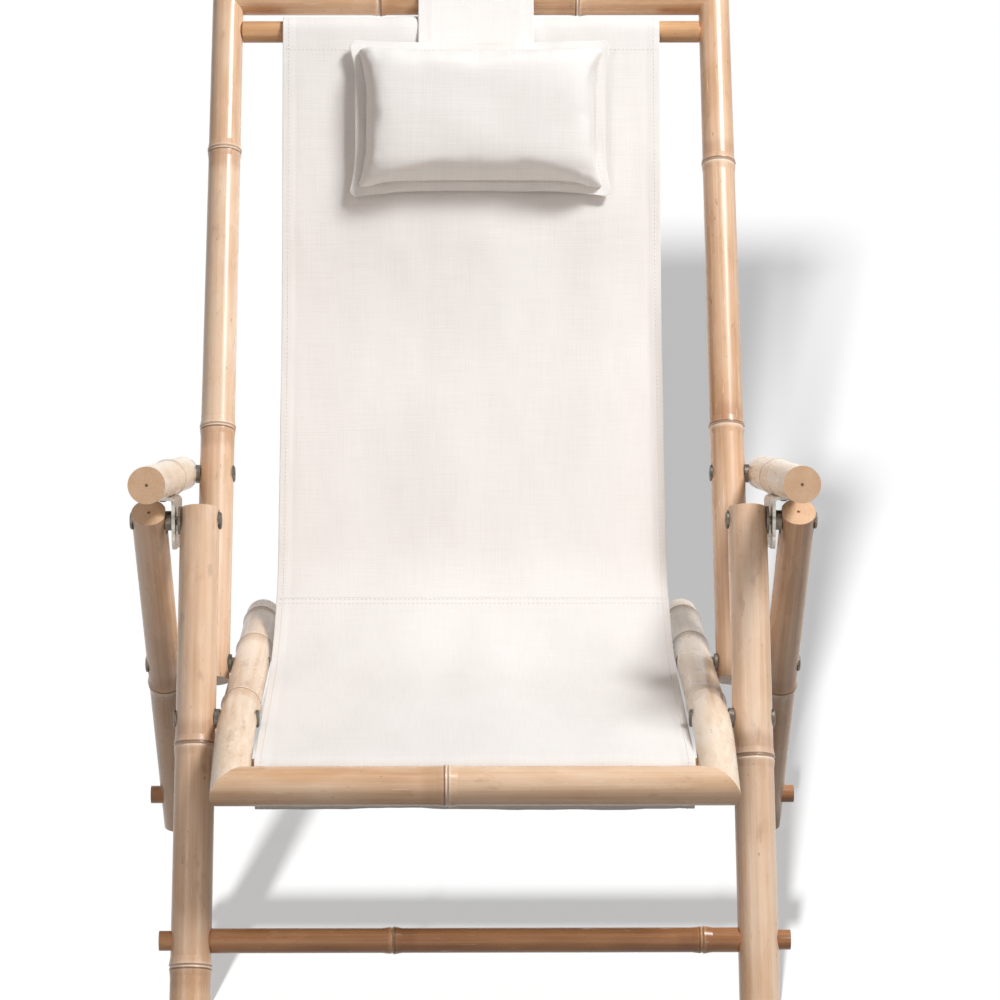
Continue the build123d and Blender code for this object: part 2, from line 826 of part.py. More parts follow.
def drawn_in_outline(width, height, draw_in):
    """Pillow outline: pointed corners with sides that curve in between them."""
    half_w, half_h = width / 2, height / 2
    return [
        ThreePointArc((-half_w, -half_h), (0, -half_h + draw_in), (half_w, -half_h)),
        ThreePointArc((half_w, -half_h), (half_w - draw_in, 0), (half_w, half_h)),
        ThreePointArc((half_w, half_h), (0, half_h - draw_in), (-half_w, half_h)),
        ThreePointArc((-half_w, half_h), (-half_w + draw_in, 0), (-half_w, -half_h)),
    ]


def pillow():
    """Stuffed pillow with a flat sewn border."""
    body_width = pillow_width - 2 * pillow_flange
    body_height = pillow_height - 2 * pillow_flange
    sections = []
    for level, share in pillow_layers:
        inset = (1 - share) * body_height / 2
        outline = drawn_in_outline(
            body_width - 2 * inset, body_height - 2 * inset, pillow_draw_in * share
        )
        sections.append(Plane((0, 0, level)) * make_face(outline))
    body = loft(sections)
    border = make_face(drawn_in_outline(pillow_width, pillow_height, pillow_draw_in))
    border = extrude(Plane((0, 0, -pillow_flange_sheet / 2)) * border, pillow_flange_sheet)
    return pillow_plane * (body + border)


def pillow_strap():
    """Canvas strap: a loop round the top rail and a leaf down to the pillow's upper border."""
    loop_inner = stile_top_radius + ridge_height + sling_gap
    loop = Circle(loop_inner + sling_sheet) - Circle(loop_inner)
    upper = top_corner + sling_front_dir * (loop_inner + sling_sheet / 2)
    draw_in = pillow_draw_in * (1 - (strap_width / pillow_width) ** 2)
    border_top = pillow_height / 2 - draw_in + sling_sheet / 2
    lower = pillow_plane.from_local_coords(Vector(0, border_top, 0))
    run = (lower - upper).normalized()
    edge = side(-run.Z, run.Y) * (sling_sheet / 2)
    corners = [upper + edge, lower + edge, lower - edge, upper - edge]
    leaf = make_face(Polyline(*[(corner.Y, corner.Z) for corner in corners], close=True))
    leaf -= Pos(top_corner.Y, top_corner.Z) * Circle(loop_inner)
    strap = across_chair(Pos(top_corner.Y, top_corner.Z) * loop + leaf, strap_width)
    return Pos(strap_offset, 0, 0) * strap


def build_chair():
    """All nodes of the chair, each a solid or a list of separate solids."""
    screws = bracket_screws()
    bracket = arm_bracket()
    arm = armrest()

    def right(solid):
        return mirror(solid, about=Plane.YZ)

    return {
        "front_leg_left": front_leg(left_leg_nodes),
        "front_leg_right": right(front_leg(right_leg_nodes)),
        "rear_leg_left": rear_leg(left_rear_leg_nodes),
        "rear_leg_right": right(rear_leg(right_rear_leg_nodes)),
        "front_stretcher": front_stretcher(),
        "rear_stretcher": rear_stretcher(),
        "seat_rail_left": seat_rail(left_rail_nodes),
        "seat_rail_right": right(seat_rail(right_rail_nodes)),
        "seat_front_rail": seat_front_rail(),
        "seat_sling_rod": seat_sling_rod(),
        "seat_corner_dowels": seat_corner_dowels(),
        "back_stile_left": back_stile(left_stile_nodes),
        "back_stile_right": right(back_stile(right_stile_nodes)),
        "back_top_rail": back_top_rail(),
        "back_sling_rod": back_sling_rod(),
        "back_corner_dowels": back_corner_dowels(),
        "armrest_left": arm,
        "armrest_right": right(arm),
        "arm_bracket_left": bracket,
        "arm_bracket_right": right(bracket),
        "bracket_screws_left": screws,
        "bracket_screws_right": [right(screw) for screw in screws],
        "leg_joint_bolts": leg_joint_bolts(),
        "leg_joint_nuts": leg_joint_nuts(),
        "leg_joint_washers": leg_joint_washers(),
        "leg_joint_spacers": leg_joint_spacers(),
        "seat_pivot_bolts": seat_pivot_bolts(),
        "seat_pivot_nuts": seat_pivot_nuts(),
        "seat_pivot_washers": seat_pivot_washers(),
        "back_pivot_bolts": back_pivot_bolts(),
        "saddle_pins": saddle_pins(),
        "back_pivot_spacers": back_pivot_spacers(),
        "arm_pivot_bolts": arm_pivot_bolts(),
        "arm_pivot_nuts": arm_pivot_nuts(),
        "arm_pivot_washers": arm_pivot_washers(),
        "sling_back_panel": sling_back_panel(),
        "sling_seat_panel": sling_seat_panel(),
        "pillow": pillow(),
        "pillow_strap": pillow_strap(),
    }


def centred(nodes):
    """Compounds of all nodes, moved so that the chair's box is centred over the origin."""
    shapes = {name: Compound(children=listed(solids)) for name, solids in nodes.items()}
    box = Compound(children=[Compound(shape.solids()) for shape in shapes.values()]).bounding_box()
    shift = Pos(0, -(box.min.Y + box.max.Y) / 2, 0)
    return {name: shift * shape for name, shape in shapes.items()}, shift.position.Y


def listed(solids):
    """A node's solids as a list."""
    return list(solids) if isinstance(solids, list) else [solids]


chair, centre_shift = centred(build_chair())
os.makedirs("parts", exist_ok=True)
for node_name, shape in chair.items():
    export_step(shape, os.path.join("parts", node_name + ".step"))
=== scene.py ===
"""Dress the folding bamboo chair: lacquered canes, nickel steel, canvas sling and head pillow.

Sizes are millimetres in the chair's side view: Y counts back from the front feet, Z up from the
floor. Blender objects are in metres in the chair's own frame.
"""

from __future__ import annotations

import logging
import math
from dataclasses import dataclass, field
from enum import Enum
from typing import Iterable, Sequence

import bmesh
import bpy
from bpy.types import Material, Node, NodeSocket, NodeTree, Object
from mathutils import Matrix, Vector, noise

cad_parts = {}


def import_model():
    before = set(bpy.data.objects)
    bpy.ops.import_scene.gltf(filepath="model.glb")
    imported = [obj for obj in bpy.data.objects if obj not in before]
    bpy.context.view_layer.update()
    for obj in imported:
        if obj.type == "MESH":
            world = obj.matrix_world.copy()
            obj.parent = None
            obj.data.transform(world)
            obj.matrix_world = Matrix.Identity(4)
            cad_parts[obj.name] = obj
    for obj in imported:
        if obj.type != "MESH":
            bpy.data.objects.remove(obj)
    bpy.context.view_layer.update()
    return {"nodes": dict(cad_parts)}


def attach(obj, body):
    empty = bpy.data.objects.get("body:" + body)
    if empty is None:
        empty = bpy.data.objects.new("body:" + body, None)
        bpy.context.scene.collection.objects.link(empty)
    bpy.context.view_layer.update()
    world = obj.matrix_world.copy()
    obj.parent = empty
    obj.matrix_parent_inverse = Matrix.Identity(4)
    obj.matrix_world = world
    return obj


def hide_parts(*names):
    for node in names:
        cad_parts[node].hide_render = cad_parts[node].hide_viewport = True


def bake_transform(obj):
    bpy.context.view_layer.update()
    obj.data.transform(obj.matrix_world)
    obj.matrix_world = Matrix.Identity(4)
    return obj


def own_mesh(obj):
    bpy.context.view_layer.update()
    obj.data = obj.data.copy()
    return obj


LOGGER = logging.getLogger("bamboo_chair")

MM = 0.001
FRAME_SHIFT_Y = -358.35

Pair = tuple[float, float]
Triple = tuple[float, float, float]
StitchLine = list[tuple[Vector, Vector]]

# Middles of the crosswise canes and ends of the lengthwise ones, in the side view (y, z).
TOP_RAIL = (718.443, 807.404)
BACK_ROD = (698.076, 776.515)
SEAT_ROD = (46.0, 200.0)
FRONT_LEG = ((0.0, 0.0), (219.0, 382.0))
REAR_LEG = ((462.0, 0.0), (219.0, 382.0))
BACK_STILE = ((317.147, 198.808), TOP_RAIL)
SEAT_RAIL = ((521.306, 204.2), (127.272, 222.0))
ARMREST = ((92.33, 446.44), (452.29, 369.93))


def in_frame(x: float, y: float, z: float) -> Vector:
    """Move a place across the chair, behind its front feet and up into its frame, in metres."""
    return Vector((x, y + FRAME_SHIFT_Y, z)) * MM


def linear_colour(code: str) -> tuple[float, float, float, float]:
    """Turn an sRGB hex code into a linear colour.

    Args:
        code: Colour such as "#A1B2C3".

    Returns:
        Linear red, green, blue and alpha.
    """
    channels = [int(code[i : i + 2], 16) / 255 for i in (1, 3, 5)]
    linear = [c / 12.92 if c <= 0.04045 else ((c + 0.055) / 1.055) ** 2.4 for c in channels]
    return (linear[0], linear[1], linear[2], 1.0)


def smooth_step(low: float, high: float, value: float) -> float:
    """Ease from 0 to 1 while a value goes from low to high."""
    share = min(max((value - low) / (high - low), 0.0), 1.0)
    return share * share * (3 - 2 * share)


def fill_inputs(tree: NodeTree, node: Node, inputs: dict) -> None:
    """Link sockets to a node's inputs, and set the other inputs.

    Args:
        tree: Node tree of the node.
        node: The node.
        inputs: Input name or index to a socket to link, or a value to set.
    """
    for name, value in inputs.items():
        if isinstance(value, NodeSocket):
            tree.links.new(value, node.inputs[name])
        else:
            node.inputs[name].default_value = value


def add_node(
    tree: NodeTree,
    kind: str,
    inputs: dict | None = None,
    result: int | str = 0,
    stops: Sequence[tuple[float, str]] = (),
    **settings: object,
) -> NodeSocket:
    """Add a shader node with its settings, its ramp's colours and its links.

    Args:
        tree: Node tree to add to.
        kind: Blender's name of the node type, without "ShaderNode".
        inputs: Input name or index to a socket to link, or a value to set.
        result: Output that is wanted.
        stops: Position and hex colour of each stop of a colour ramp.
        **settings: Node attributes to set first.

    Returns:
        The wanted output socket.
    """
    node = tree.nodes.new("ShaderNode" + kind)
    for name, value in settings.items():
        setattr(node, name, value)
    for index, (position, code) in enumerate(stops):
        elements = node.color_ramp.elements
        element = elements[index] if index < len(elements) else elements.new(position)
        element.position = position
        element.color = linear_colour(code)
    fill_inputs(tree, node, inputs or {})
    return node.outputs[result]


def new_material(name: str) -> tuple[Material, NodeTree, Node]:
    """Start a material.

    Args:
        name: Name of the material.

    Returns:
        The material, its node tree and its Principled surface node.
    """
    material = bpy.data.materials.new(name)
    material.use_nodes = True
    tree = material.node_tree
    return material, tree, tree.nodes["Principled BSDF"]


def grain(
    tree: NodeTree, coords: object, size: Sequence[float], detail: float, seed: float
) -> NodeSocket:
    """Add a noise pattern of a real size.

    Args:
        tree: Node tree to add to.
        coords: Coordinates, in metres.
        size: Size of a fleck on each axis, in millimetres.
        detail: Octaves of the noise.
        seed: Number that picks the pattern.

    Returns:
        A factor of about 0.25 to 0.75.
    """
    scale = tuple(1 / (length * MM) for length in size)
    vector = add_node(tree, "VectorMath", {0: coords, 1: scale}, operation="MULTIPLY")
    inputs = {"Vector": vector, "W": seed, "Scale": 1.0, "Detail": detail}
    return add_node(tree, "TexNoise", inputs, noise_dimensions="4D")


def add_up(tree: NodeTree, start: object, *parts: tuple[object, float]) -> NodeSocket:
    """Add patterns up, each at its own weight.

    Args:
        tree: Node tree to add to.
        start: Value or socket to start from.
        *parts: Each pattern's socket and its weight.

    Returns:
        A socket with the sum.
    """
    total = start
    for pattern, weight in parts:
        total = add_node(tree, "Math", {0: pattern, 1: weight, 2: total}, operation="MULTIPLY_ADD")
    return total


def away_from(tree: NodeTree, value: object, place: float) -> NodeSocket:
    """Measure how far a coordinate's socket is from one place, in the coordinate's unit."""
    away = add_node(tree, "Math", {0: value, 1: place}, operation="SUBTRACT")
    return add_node(tree, "Math", {0: away}, operation="ABSOLUTE")


@dataclass(frozen=True)
class Stain:
    """A colour that shows where a pattern has certain values.

    Attributes:
        code: Its hex colour.
        limits: Values of the pattern between which it fades.
        levels: Its strength at those two values.
    """

    code: str
    limits: Pair
    levels: Pair

    def lay(self, tree: NodeTree, colour: object, pattern: object) -> tuple[object, object]:
        """Lay the stain on a colour.

        Args:
            tree: Node tree to add to.
            colour: Colour socket to stain.
            pattern: Socket of the pattern.

        Returns:
            The stained colour and the stain's mask.
        """
        inputs = {"Value": pattern, "From Min": self.limits[0], "From Max": self.limits[1]}
        inputs.update({"To Min": self.levels[0], "To Max": self.levels[1]})
        mask = add_node(tree, "MapRange", inputs, interpolation_type="SMOOTHSTEP")
        inputs = {0: mask, 6: colour, 7: linear_colour(self.code)}
        return add_node(tree, "Mix", inputs, 2, data_type="RGBA"), mask


@dataclass(frozen=True)
class Flaw:
    """Scattered marks of one kind on a bamboo skin.

    Attributes:
        size: Size of a mark, twice across the cane and once along it, in millimetres.
        detail: Octaves of its noise.
        shift: Number that sets its pattern apart from the others.
        stain: Its colour, and the noise that it shows at.
    """

    size: Triple
    detail: float
    shift: float
    stain: Stain


@dataclass(frozen=True)
class BambooSkin:
    """Peeled bamboo under thin lacquer: fine fibres, flecks, satin with long soft highlights.

    Attributes:
        dark: Colour of the darkest fibres.
        mid: Colour between them.
        pale: Colour of most of the skin.
        light: Colour of the palest fibres and of the node crests.
        scar: Colour of the line at a node.
        pith: Colour of the pith in a sawn end.
        wood: Colours of a sawn end, dark to pale.
        cane_spread: How much the canes differ in tone.
        internode_spread: How much the internodes of a cane differ in tone.
        line_offset: Distance of a node's dark line from its crest, in millimetres.
        flaws: Amber stretches from the drying fire, smudges, flecks and pale scuffs.
    """

    dark: str
    mid: str
    pale: str
    light: str
    scar: str = "#7A5434"
    pith: str = "#4A2F1C"
    wood: tuple[str, str, str] = ("#D3A882", "#E1BB97", "#ECCDAF")
    cane_spread: float = 0.07
    internode_spread: float = 0.11
    line_offset: float = 2.4
    flaws: tuple[Flaw, ...] = (
        Flaw((30.0, 30.0, 150.0), 3.0, 23.0, Stain("#CB965F", (0.5, 0.68), (0.0, 0.4))),
        Flaw((11.0, 11.0, 26.0), 4.0, 29.0, Stain("#96735C", (0.6, 0.74), (0.0, 0.3))),
        Flaw((3.2, 3.2, 9.0), 2.0, 11.0, Stain("#8F6642", (0.68, 0.76), (0.0, 0.5))),
        Flaw((2.0, 2.0, 30.0), 2.0, 17.0, Stain("#F3E4D0", (0.66, 0.74), (0.0, 0.55))),
    )

    def dress(self, cane: Cane, seed: float) -> Material:
        """Make the skin of one cane: fibres along it, internodes, scars and sawn ends.

        Args:
            cane: The cane.
            seed: Number that picks its pattern.

        Returns:
            The material.
        """
        material, tree, surface = new_material("lacquered_bamboo_" + cane.node)
        foot = in_frame(*cane.start)
        axis = (in_frame(*cane.finish) - foot).normalized()
        turn = axis.to_track_quat("Z", "Y").to_euler()
        coords = add_node(tree, "TexCoord", result="Object")
        inputs = {"Vector": coords, "Location": foot, "Rotation": turn}
        local = add_node(tree, "Mapping", inputs, vector_type="TEXTURE")
        along = add_node(tree, "SeparateXYZ", {"Vector": local}, "Z")

        streak = grain(tree, local, (5.0, 5.0, 320.0), 3.0, seed)
        fibre = grain(tree, local, (1.1, 1.1, 90.0), 2.0, seed + 3.1)
        mottle = grain(tree, local, (34.0, 34.0, 95.0), 4.0, seed + 7.7)
        patterns = ((streak, 0.62), (fibre, 0.3), (mottle, 0.75))
        # Noise averages 0.5, so this starts the sum where it averages 0.5 too. Sines of the seed
        # stand in for random numbers, so that every run gives the same canes.
        start = 0.5 - sum(gain for _, gain in patterns) / 2
        tone = add_up(tree, start + self.cane_spread * math.sin(seed * 1.7), *patterns)
        for count, ring in enumerate(cane.rings):
            above = add_node(tree, "Math", {0: along, 1: ring * MM}, operation="GREATER_THAN")
            change = self.internode_spread * math.sin(seed * 2.3 + count * 2.1)
            tone = add_up(tree, tone, (above, change))
        stops = ((0.1, self.dark), (0.4, self.mid), (0.62, self.pale), (0.92, self.light))
        colour = add_node(tree, "ValToRGB", {"Fac": tone}, stops=stops)
        for flaw in self.flaws:
            pattern = grain(tree, local, flaw.size, flaw.detail, seed + flaw.shift)
            colour, _ = flaw.stain.lay(tree, colour, pattern)
        colour, groove = self._ringed(tree, along, colour, cane.rings, seed)
        colour = self._sawn(tree, local, axis, colour, seed)

        rough = add_up(tree, 0.15, (mottle, 0.24))
        height = add_up(tree, groove, (fibre, 0.5), (streak, 1.0))
        normal = add_node(tree, "Bump", {"Height": height, "Strength": 0.4, "Distance": 0.4 * MM})
        values = {"Base Color": colour, "Roughness": rough, "Normal": normal}
        values.update({"IOR": 1.48, "Specular IOR Level": 0.45})
        fill_inputs(tree, surface, values)
        return material

    def _ringed(
        self, tree: NodeTree, along: object, colour: object, rings: Sequence[float], seed: float
    ) -> tuple[object, object]:
        """Mark the nodes: a flush beside each, a pale crest and a dark line.

        Args:
            tree: Node tree to add to.
            along: Coordinate along the cane.
            colour: Colour socket of the skin.
            rings: Places of the nodes along the cane.
            seed: Number that picks the side of each line.

        Returns:
            The colour, and the height of the skin with the lines cut into it.
        """
        flush = Stain(self.dark, (3.0 * MM, 15.0 * MM), (0.34, 0.0))
        crest = Stain(self.light, (1.0 * MM, 4.8 * MM), (0.6, 0.0))
        line = Stain(self.scar, (0.4 * MM, 1.3 * MM), (0.85, 0.0))
        groove: object = 0.0
        for count, ring in enumerate(rings):
            side = self.line_offset if math.sin(seed + count) > -0.4 else -self.line_offset
            for place, stain in ((ring + 5 * side, flush), (ring, crest), (ring + side, line)):
                away = away_from(tree, along, place * MM)
                colour, mask = stain.lay(tree, colour, away)
            groove = add_up(tree, groove, (mask, -1.0))
        return colour, groove

    def _sawn(
        self, tree: NodeTree, local: object, axis: Vector, colour: object, seed: float
    ) -> NodeSocket:
        """Colour the sawn ends: pale wood, a dark pith and a darker rim.

        Args:
            tree: Node tree to add to.
            local: Coordinates with Z along the cane.
            axis: Direction of the cane.
            colour: Colour socket of the skin.
            seed: Number that picks the pattern.

        Returns:
            The colour socket.
        """
        speckle = grain(tree, local, (1.4, 1.4, 1.4), 2.0, seed + 1.3)
        cloud = grain(tree, local, (12.0, 12.0, 12.0), 3.0, seed + 5.0)
        tone = add_up(tree, 0.25, (speckle, 0.5), (cloud, 0.5))
        stops = tuple(zip((0.5, 0.75, 1.0), self.wood))
        wood = add_node(tree, "ValToRGB", {"Fac": tone}, stops=stops)
        flat = add_node(tree, "VectorMath", {0: local, 1: (1.0, 1.0, 0.0)}, operation="MULTIPLY")
        radius = add_node(tree, "VectorMath", {0: flat}, "Value", operation="LENGTH")
        wood, _ = Stain(self.pith, (1.0 * MM, 1.9 * MM), (0.9, 0.0)).lay(tree, wood, radius)

        normal = add_node(tree, "TexCoord", result="Normal")
        inputs = {0: normal, 1: axis}
        facing = add_node(tree, "VectorMath", inputs, "Value", operation="DOT_PRODUCT")
        facing = add_node(tree, "Math", {0: facing}, operation="ABSOLUTE")
        rim = away_from(tree, facing, 0.68)
        colour, _ = Stain(self.scar, (0.1, 0.22), (0.4, 0.0)).lay(tree, colour, rim)
        inputs = {"Value": facing, "From Min": 0.88, "From Max": 0.95}
        cut = add_node(tree, "MapRange", inputs, interpolation_type="SMOOTHSTEP")
        return add_node(tree, "Mix", {0: cut, 6: colour, 7: wood}, 2, data_type="RGBA")


@dataclass(frozen=True)
class CottonCanvas:
    """Unbleached plain-weave cotton: matt, with slubs along both threads and soft creases.

    Attributes:
        tones: Colours, dark to pale.
        spacing: Thread spacing in millimetres, drawn coarser than the real 0.6 so that it shows.
        weave_depth: Depth of the weave, against the slubs' depth of 1.
        crease_depth: Depth of the soft creases, against the slubs' depth of 1.
    """

    tones: tuple[str, str, str] = ("#E9E4E0", "#F3F0ED", "#FAF8F6")
    spacing: float = 1.1
    weave_depth: float = 0.16
    crease_depth: float = 9.0

    def dress(self, name: str, plane: Matrix | None = None) -> Material:
        """Make the canvas.

        Args:
            name: Name of the material.
            plane: Frame of a filled piece, whose X and Y run along the threads; without it, the
                piece is a single sheet and its UV in metres is used.

        Returns:
            The material.
        """
        material, tree, surface = new_material("cotton_canvas_" + name)
        threads = add_node(tree, "TexCoord", result="UV" if plane is None else "Object")
        if plane is not None:
            inputs = {"Vector": threads, "Location": plane.translation}
            inputs["Rotation"] = plane.to_euler()
            threads = add_node(tree, "Mapping", inputs, vector_type="TEXTURE")
        weft = grain(tree, threads, (45.0, 1.3, 45.0), 2.0, 1.0)
        warp = grain(tree, threads, (1.3, 45.0, 45.0), 2.0, 2.0)
        cloud = grain(tree, threads, (90.0, 140.0, 90.0), 3.0, 4.0)
        slub = add_node(tree, "Math", {0: weft, 1: warp}, operation="ADD")
        tone = add_up(tree, -0.15, (slub, 0.4), (cloud, 0.5))
        stops = tuple(zip((0.1, 0.46, 0.85), self.tones))
        colour = add_node(tree, "ValToRGB", {"Fac": tone}, stops=stops)

        weave: object = 0.0
        for axis in ("X", "Y"):
            place = add_node(tree, "SeparateXYZ", {"Vector": threads}, axis)
            inputs = {0: place, 1: 2 * math.pi / (self.spacing * MM)}
            turn = add_node(tree, "Math", inputs, operation="MULTIPLY")
            wave = add_node(tree, "Math", {0: turn}, operation="SINE")
            weave = add_up(tree, weave, (wave, self.weave_depth))
        crease = grain(tree, threads, (52.0, 74.0, 52.0), 2.5, 8.0)
        height = add_up(tree, weave, (slub, 1.0), (crease, self.crease_depth))
        normal = add_node(tree, "Bump", {"Height": height, "Strength": 0.4, "Distance": 0.4 * MM})
        values = {"Base Color": colour, "Roughness": 0.93, "Normal": normal}
        values.update({"IOR": 1.45, "Specular IOR Level": 0.2})
        values.update({"Sheen Weight": 0.08, "Sheen Roughness": 0.5})
        fill_inputs(tree, surface, values)
        return material


@dataclass(frozen=True)
class SewingThread:
    """Spun polyester thread: a dull twist, a shade warmer than the canvas.

    Attributes:
        dark: Colour between the twists.
        pale: Colour of the twists.
        twist: Length of a twist, in millimetres.
    """

    dark: str = "#E2DAD1"
    pale: str = "#F4EFE8"
    twist: float = 0.45

    def dress(self) -> Material:
        """Make the thread's material.

        Returns:
            The material.
        """
        material, tree, surface = new_material("sewing_thread")
        coords = add_node(tree, "TexCoord", result="Object")
        twist = grain(tree, coords, (self.twist, self.twist, self.twist), 1.0, 3.0)
        stops = ((0.35, self.dark), (0.65, self.pale))
        colour = add_node(tree, "ValToRGB", {"Fac": twist}, stops=stops)
        fill_inputs(tree, surface, {"Base Color": colour, "Roughness": 0.8})
        return material


@dataclass(frozen=True)
class NickelSteel:
    """Pressed or turned steel with dull nickel plating: faint brushing and duller spots.

    Attributes:
        name: Name of the finish.
        dull: Colour of the dull spots.
        colour: Main colour.
        bright: Colour of the rubbed places.
        roughness: Roughness where it is bright.
    """

    name: str
    dull: str
    colour: str
    bright: str
    roughness: float

    def dress(self) -> Material:
        """Make the steel's material.

        Returns:
            The material.
        """
        material, tree, surface = new_material(self.name)
        coords = add_node(tree, "TexCoord", result="Object")
        brushed = grain(tree, coords, (6.0, 6.0, 0.4), 2.0, 1.0)
        dull = grain(tree, coords, (7.0, 7.0, 7.0), 3.0, 6.0)
        tone = add_up(tree, -0.15, (brushed, 0.4), (dull, 0.9))
        stops = ((0.2, self.dull), (0.5, self.colour), (0.85, self.bright))
        colour = add_node(tree, "ValToRGB", {"Fac": tone}, stops=stops)
        rough = add_up(tree, self.roughness - 0.15, (dull, 0.3))
        normal = add_node(tree, "Bump", {"Height": brushed, "Strength": 0.2, "Distance": 0.2 * MM})
        values = {"Base Color": colour, "Metallic": 1.0, "Roughness": rough, "Normal": normal}
        fill_inputs(tree, surface, values)
        return material


@dataclass(frozen=True)
class StudioFloor:
    """Matt white studio paper, lifted to white for the eye but not for the light on the chair.

    Attributes:
        pale: Brightness of the paper that is seen.
        dull: Brightness of the paper that throws light back at the chair.
        lift: Glow of the paper that is seen.
    """

    pale: float = 0.42
    dull: float = 0.1
    lift: float = 0.46

    def dress(self) -> Material:
        """Make the paper's material.

        Returns:
            The material.
        """
        material, tree, surface = new_material("studio_paper")
        seen = seen_directly(tree)
        strength = add_up(tree, 0.0, (seen, self.lift))
        inputs = {"Value": seen, "To Min": self.dull, "To Max": self.pale}
        values = {"Base Color": add_node(tree, "MapRange", inputs), "Roughness": 0.95}
        values.update({"Specular IOR Level": 0.0, "Emission Strength": strength})
        values["Emission Color"] = linear_colour("#FFFFFF")
        fill_inputs(tree, surface, values)
        return material


def seen_directly(tree: NodeTree) -> NodeSocket:
    """Mark the rays that look at a surface rather than light the chair.

    Args:
        tree: Node tree to add to.

    Returns:
        A socket that is 1 for camera, glossy and transmission rays.
    """
    seen: object = 0.0
    for kind in ("Is Camera Ray", "Is Glossy Ray", "Is Transmission Ray"):
        ray = add_node(tree, "LightPath", result=kind)
        seen = add_node(tree, "Math", {0: seen, 1: ray}, operation="MAXIMUM")
    return seen


class Skin(Enum):
    """The chair's bamboo skins."""

    LEG = BambooSkin("#AF7D59", "#DAB18E", "#EDCCAE", "#F8E4D0")
    RAIL = BambooSkin("#B58660", "#DEB793", "#EECFB1", "#F9E5D2")
    PALE = BambooSkin("#CBA47F", "#EED4B8", "#F8E7D2", "#FDF3E6")
    ROD = BambooSkin("#7A4D2C", "#A57148", "#BA875C", "#D2A67B")
    HONEY = BambooSkin("#A8754A", "#CF9D6E", "#E0B285", "#EDC9A2")


class Plating(Enum):
    """The chair's steel finishes."""

    BRACKET = NickelSteel("pressed_nickel_steel", "#6B655D", "#B4AFA6", "#DAD6CE", 0.3)
    FASTENER = NickelSteel("turned_nickel_steel", "#453F38", "#6F685F", "#A39D94", 0.4)


@dataclass(frozen=True)
class Cane:
    """A straight bamboo cane of the frame.

    Attributes:
        node: Name of its CAD node.
        start: First end of its axis (x, y, z).
        finish: Second end of its axis (x, y, z).
        rings: Places of its nodes along the axis, from start.
        skin: Its skin.
    """

    node: str
    start: Triple
    finish: Triple
    rings: tuple[float, ...]
    skin: Skin = Skin.LEG

    @classmethod
    def lengthwise(cls, node: str, x: float, line: tuple[Pair, Pair], *looks: object) -> Cane:
        """Make a cane that lies in the side view, at one place across the chair."""
        return cls(node, (x, *line[0]), (x, *line[1]), *looks)

    @classmethod
    def crosswise(cls, node: str, reach: float, place: Pair, *looks: object) -> Cane:
        """Make a cane that runs across the chair, as far to the left as to the right."""
        return cls(node, (-reach, *place), (reach, *place), *looks)


def paint(piece: Object, material: Material) -> None:
    """Give a CAD node a material.

    Args:
        piece: The node's object.
        material: The material.
    """
    if not piece.material_slots:
        piece.data.materials.append(material)
    for slot in piece.material_slots:
        slot.material = material


@dataclass(frozen=True)
class CaneFrame:
    """The bamboo frame: canes, rods and corner dowels.

    Attributes:
        canes: The canes and rods.
        seed_step: Step between the seeds of two canes' patterns.
        dowel: A short cane that stands for all dowels.
        dowel_seed: Seed of the dowels' pattern.
        dowel_nodes: Names of the dowels' CAD nodes.
    """

    canes: tuple[Cane, ...] = (
        Cane.lengthwise("front_leg_left", 250.0, FRONT_LEG, (218.0,)),
        Cane.lengthwise("front_leg_right", -250.0, FRONT_LEG, (33.0, 230.0)),
        Cane.lengthwise("rear_leg_left", 296.0, REAR_LEG, (222.0,)),
        Cane.lengthwise("rear_leg_right", -296.0, REAR_LEG, (226.0,)),
        Cane.lengthwise("back_stile_left", 250.0, BACK_STILE, (257.0, 541.0)),
        Cane.lengthwise("back_stile_right", -250.0, BACK_STILE, (257.0, 556.0)),
        Cane.lengthwise("seat_rail_left", 212.0, SEAT_RAIL, (30.0, 140.0, 346.0), Skin.PALE),
        Cane.lengthwise("seat_rail_right", -212.0, SEAT_RAIL, (34.0, 146.0, 352.0), Skin.PALE),
        Cane.crosswise("seat_front_rail", 246.5, (12.0, 198.0), (222.5,), Skin.RAIL),
        Cane.crosswise("back_top_rail", 281.6, TOP_RAIL, (186.6, 391.6), Skin.RAIL),
        Cane.lengthwise("armrest_left", 285.65, ARMREST, (210.0,), Skin.PALE),
        Cane.lengthwise("armrest_right", -285.65, ARMREST, (210.0,), Skin.PALE),
        Cane.crosswise("front_stretcher", 231.9, (28.09, 49.0), (159.0, 432.0), Skin.ROD),
        Cane.crosswise("rear_stretcher", 279.9, (434.65, 43.0), (130.0, 390.0), Skin.ROD),
        Cane.crosswise("seat_sling_rod", 194.65, SEAT_ROD, (60.0, 330.0), Skin.HONEY),
        Cane.crosswise("back_sling_rod", 234.0, BACK_ROD, (60.0, 330.0), Skin.HONEY),
    )
    seed_step: float = 4.37
    dowel: Cane = Cane("dowels", (0.0, 0.0, 0.0), (100.0, 0.0, 0.0), ())
    dowel_seed: float = 99.0
    dowel_nodes: tuple[str, ...] = ("seat_corner_dowels", "back_corner_dowels")

    def dress(self, nodes: dict[str, Object]) -> set[str]:
        """Give each cane and dowel its own bamboo.

        Args:
            nodes: The CAD nodes' objects by name.

        Returns:
            Names of the nodes that were dressed.
        """
        for index, cane in enumerate(self.canes):
            paint(nodes[cane.node], cane.skin.value.dress(cane, 1.0 + self.seed_step * index))
        material = self.dowel.skin.value.dress(self.dowel, self.dowel_seed)
        for node in self.dowel_nodes:
            paint(nodes[node], material)
        return {cane.node for cane in self.canes} | set(self.dowel_nodes)


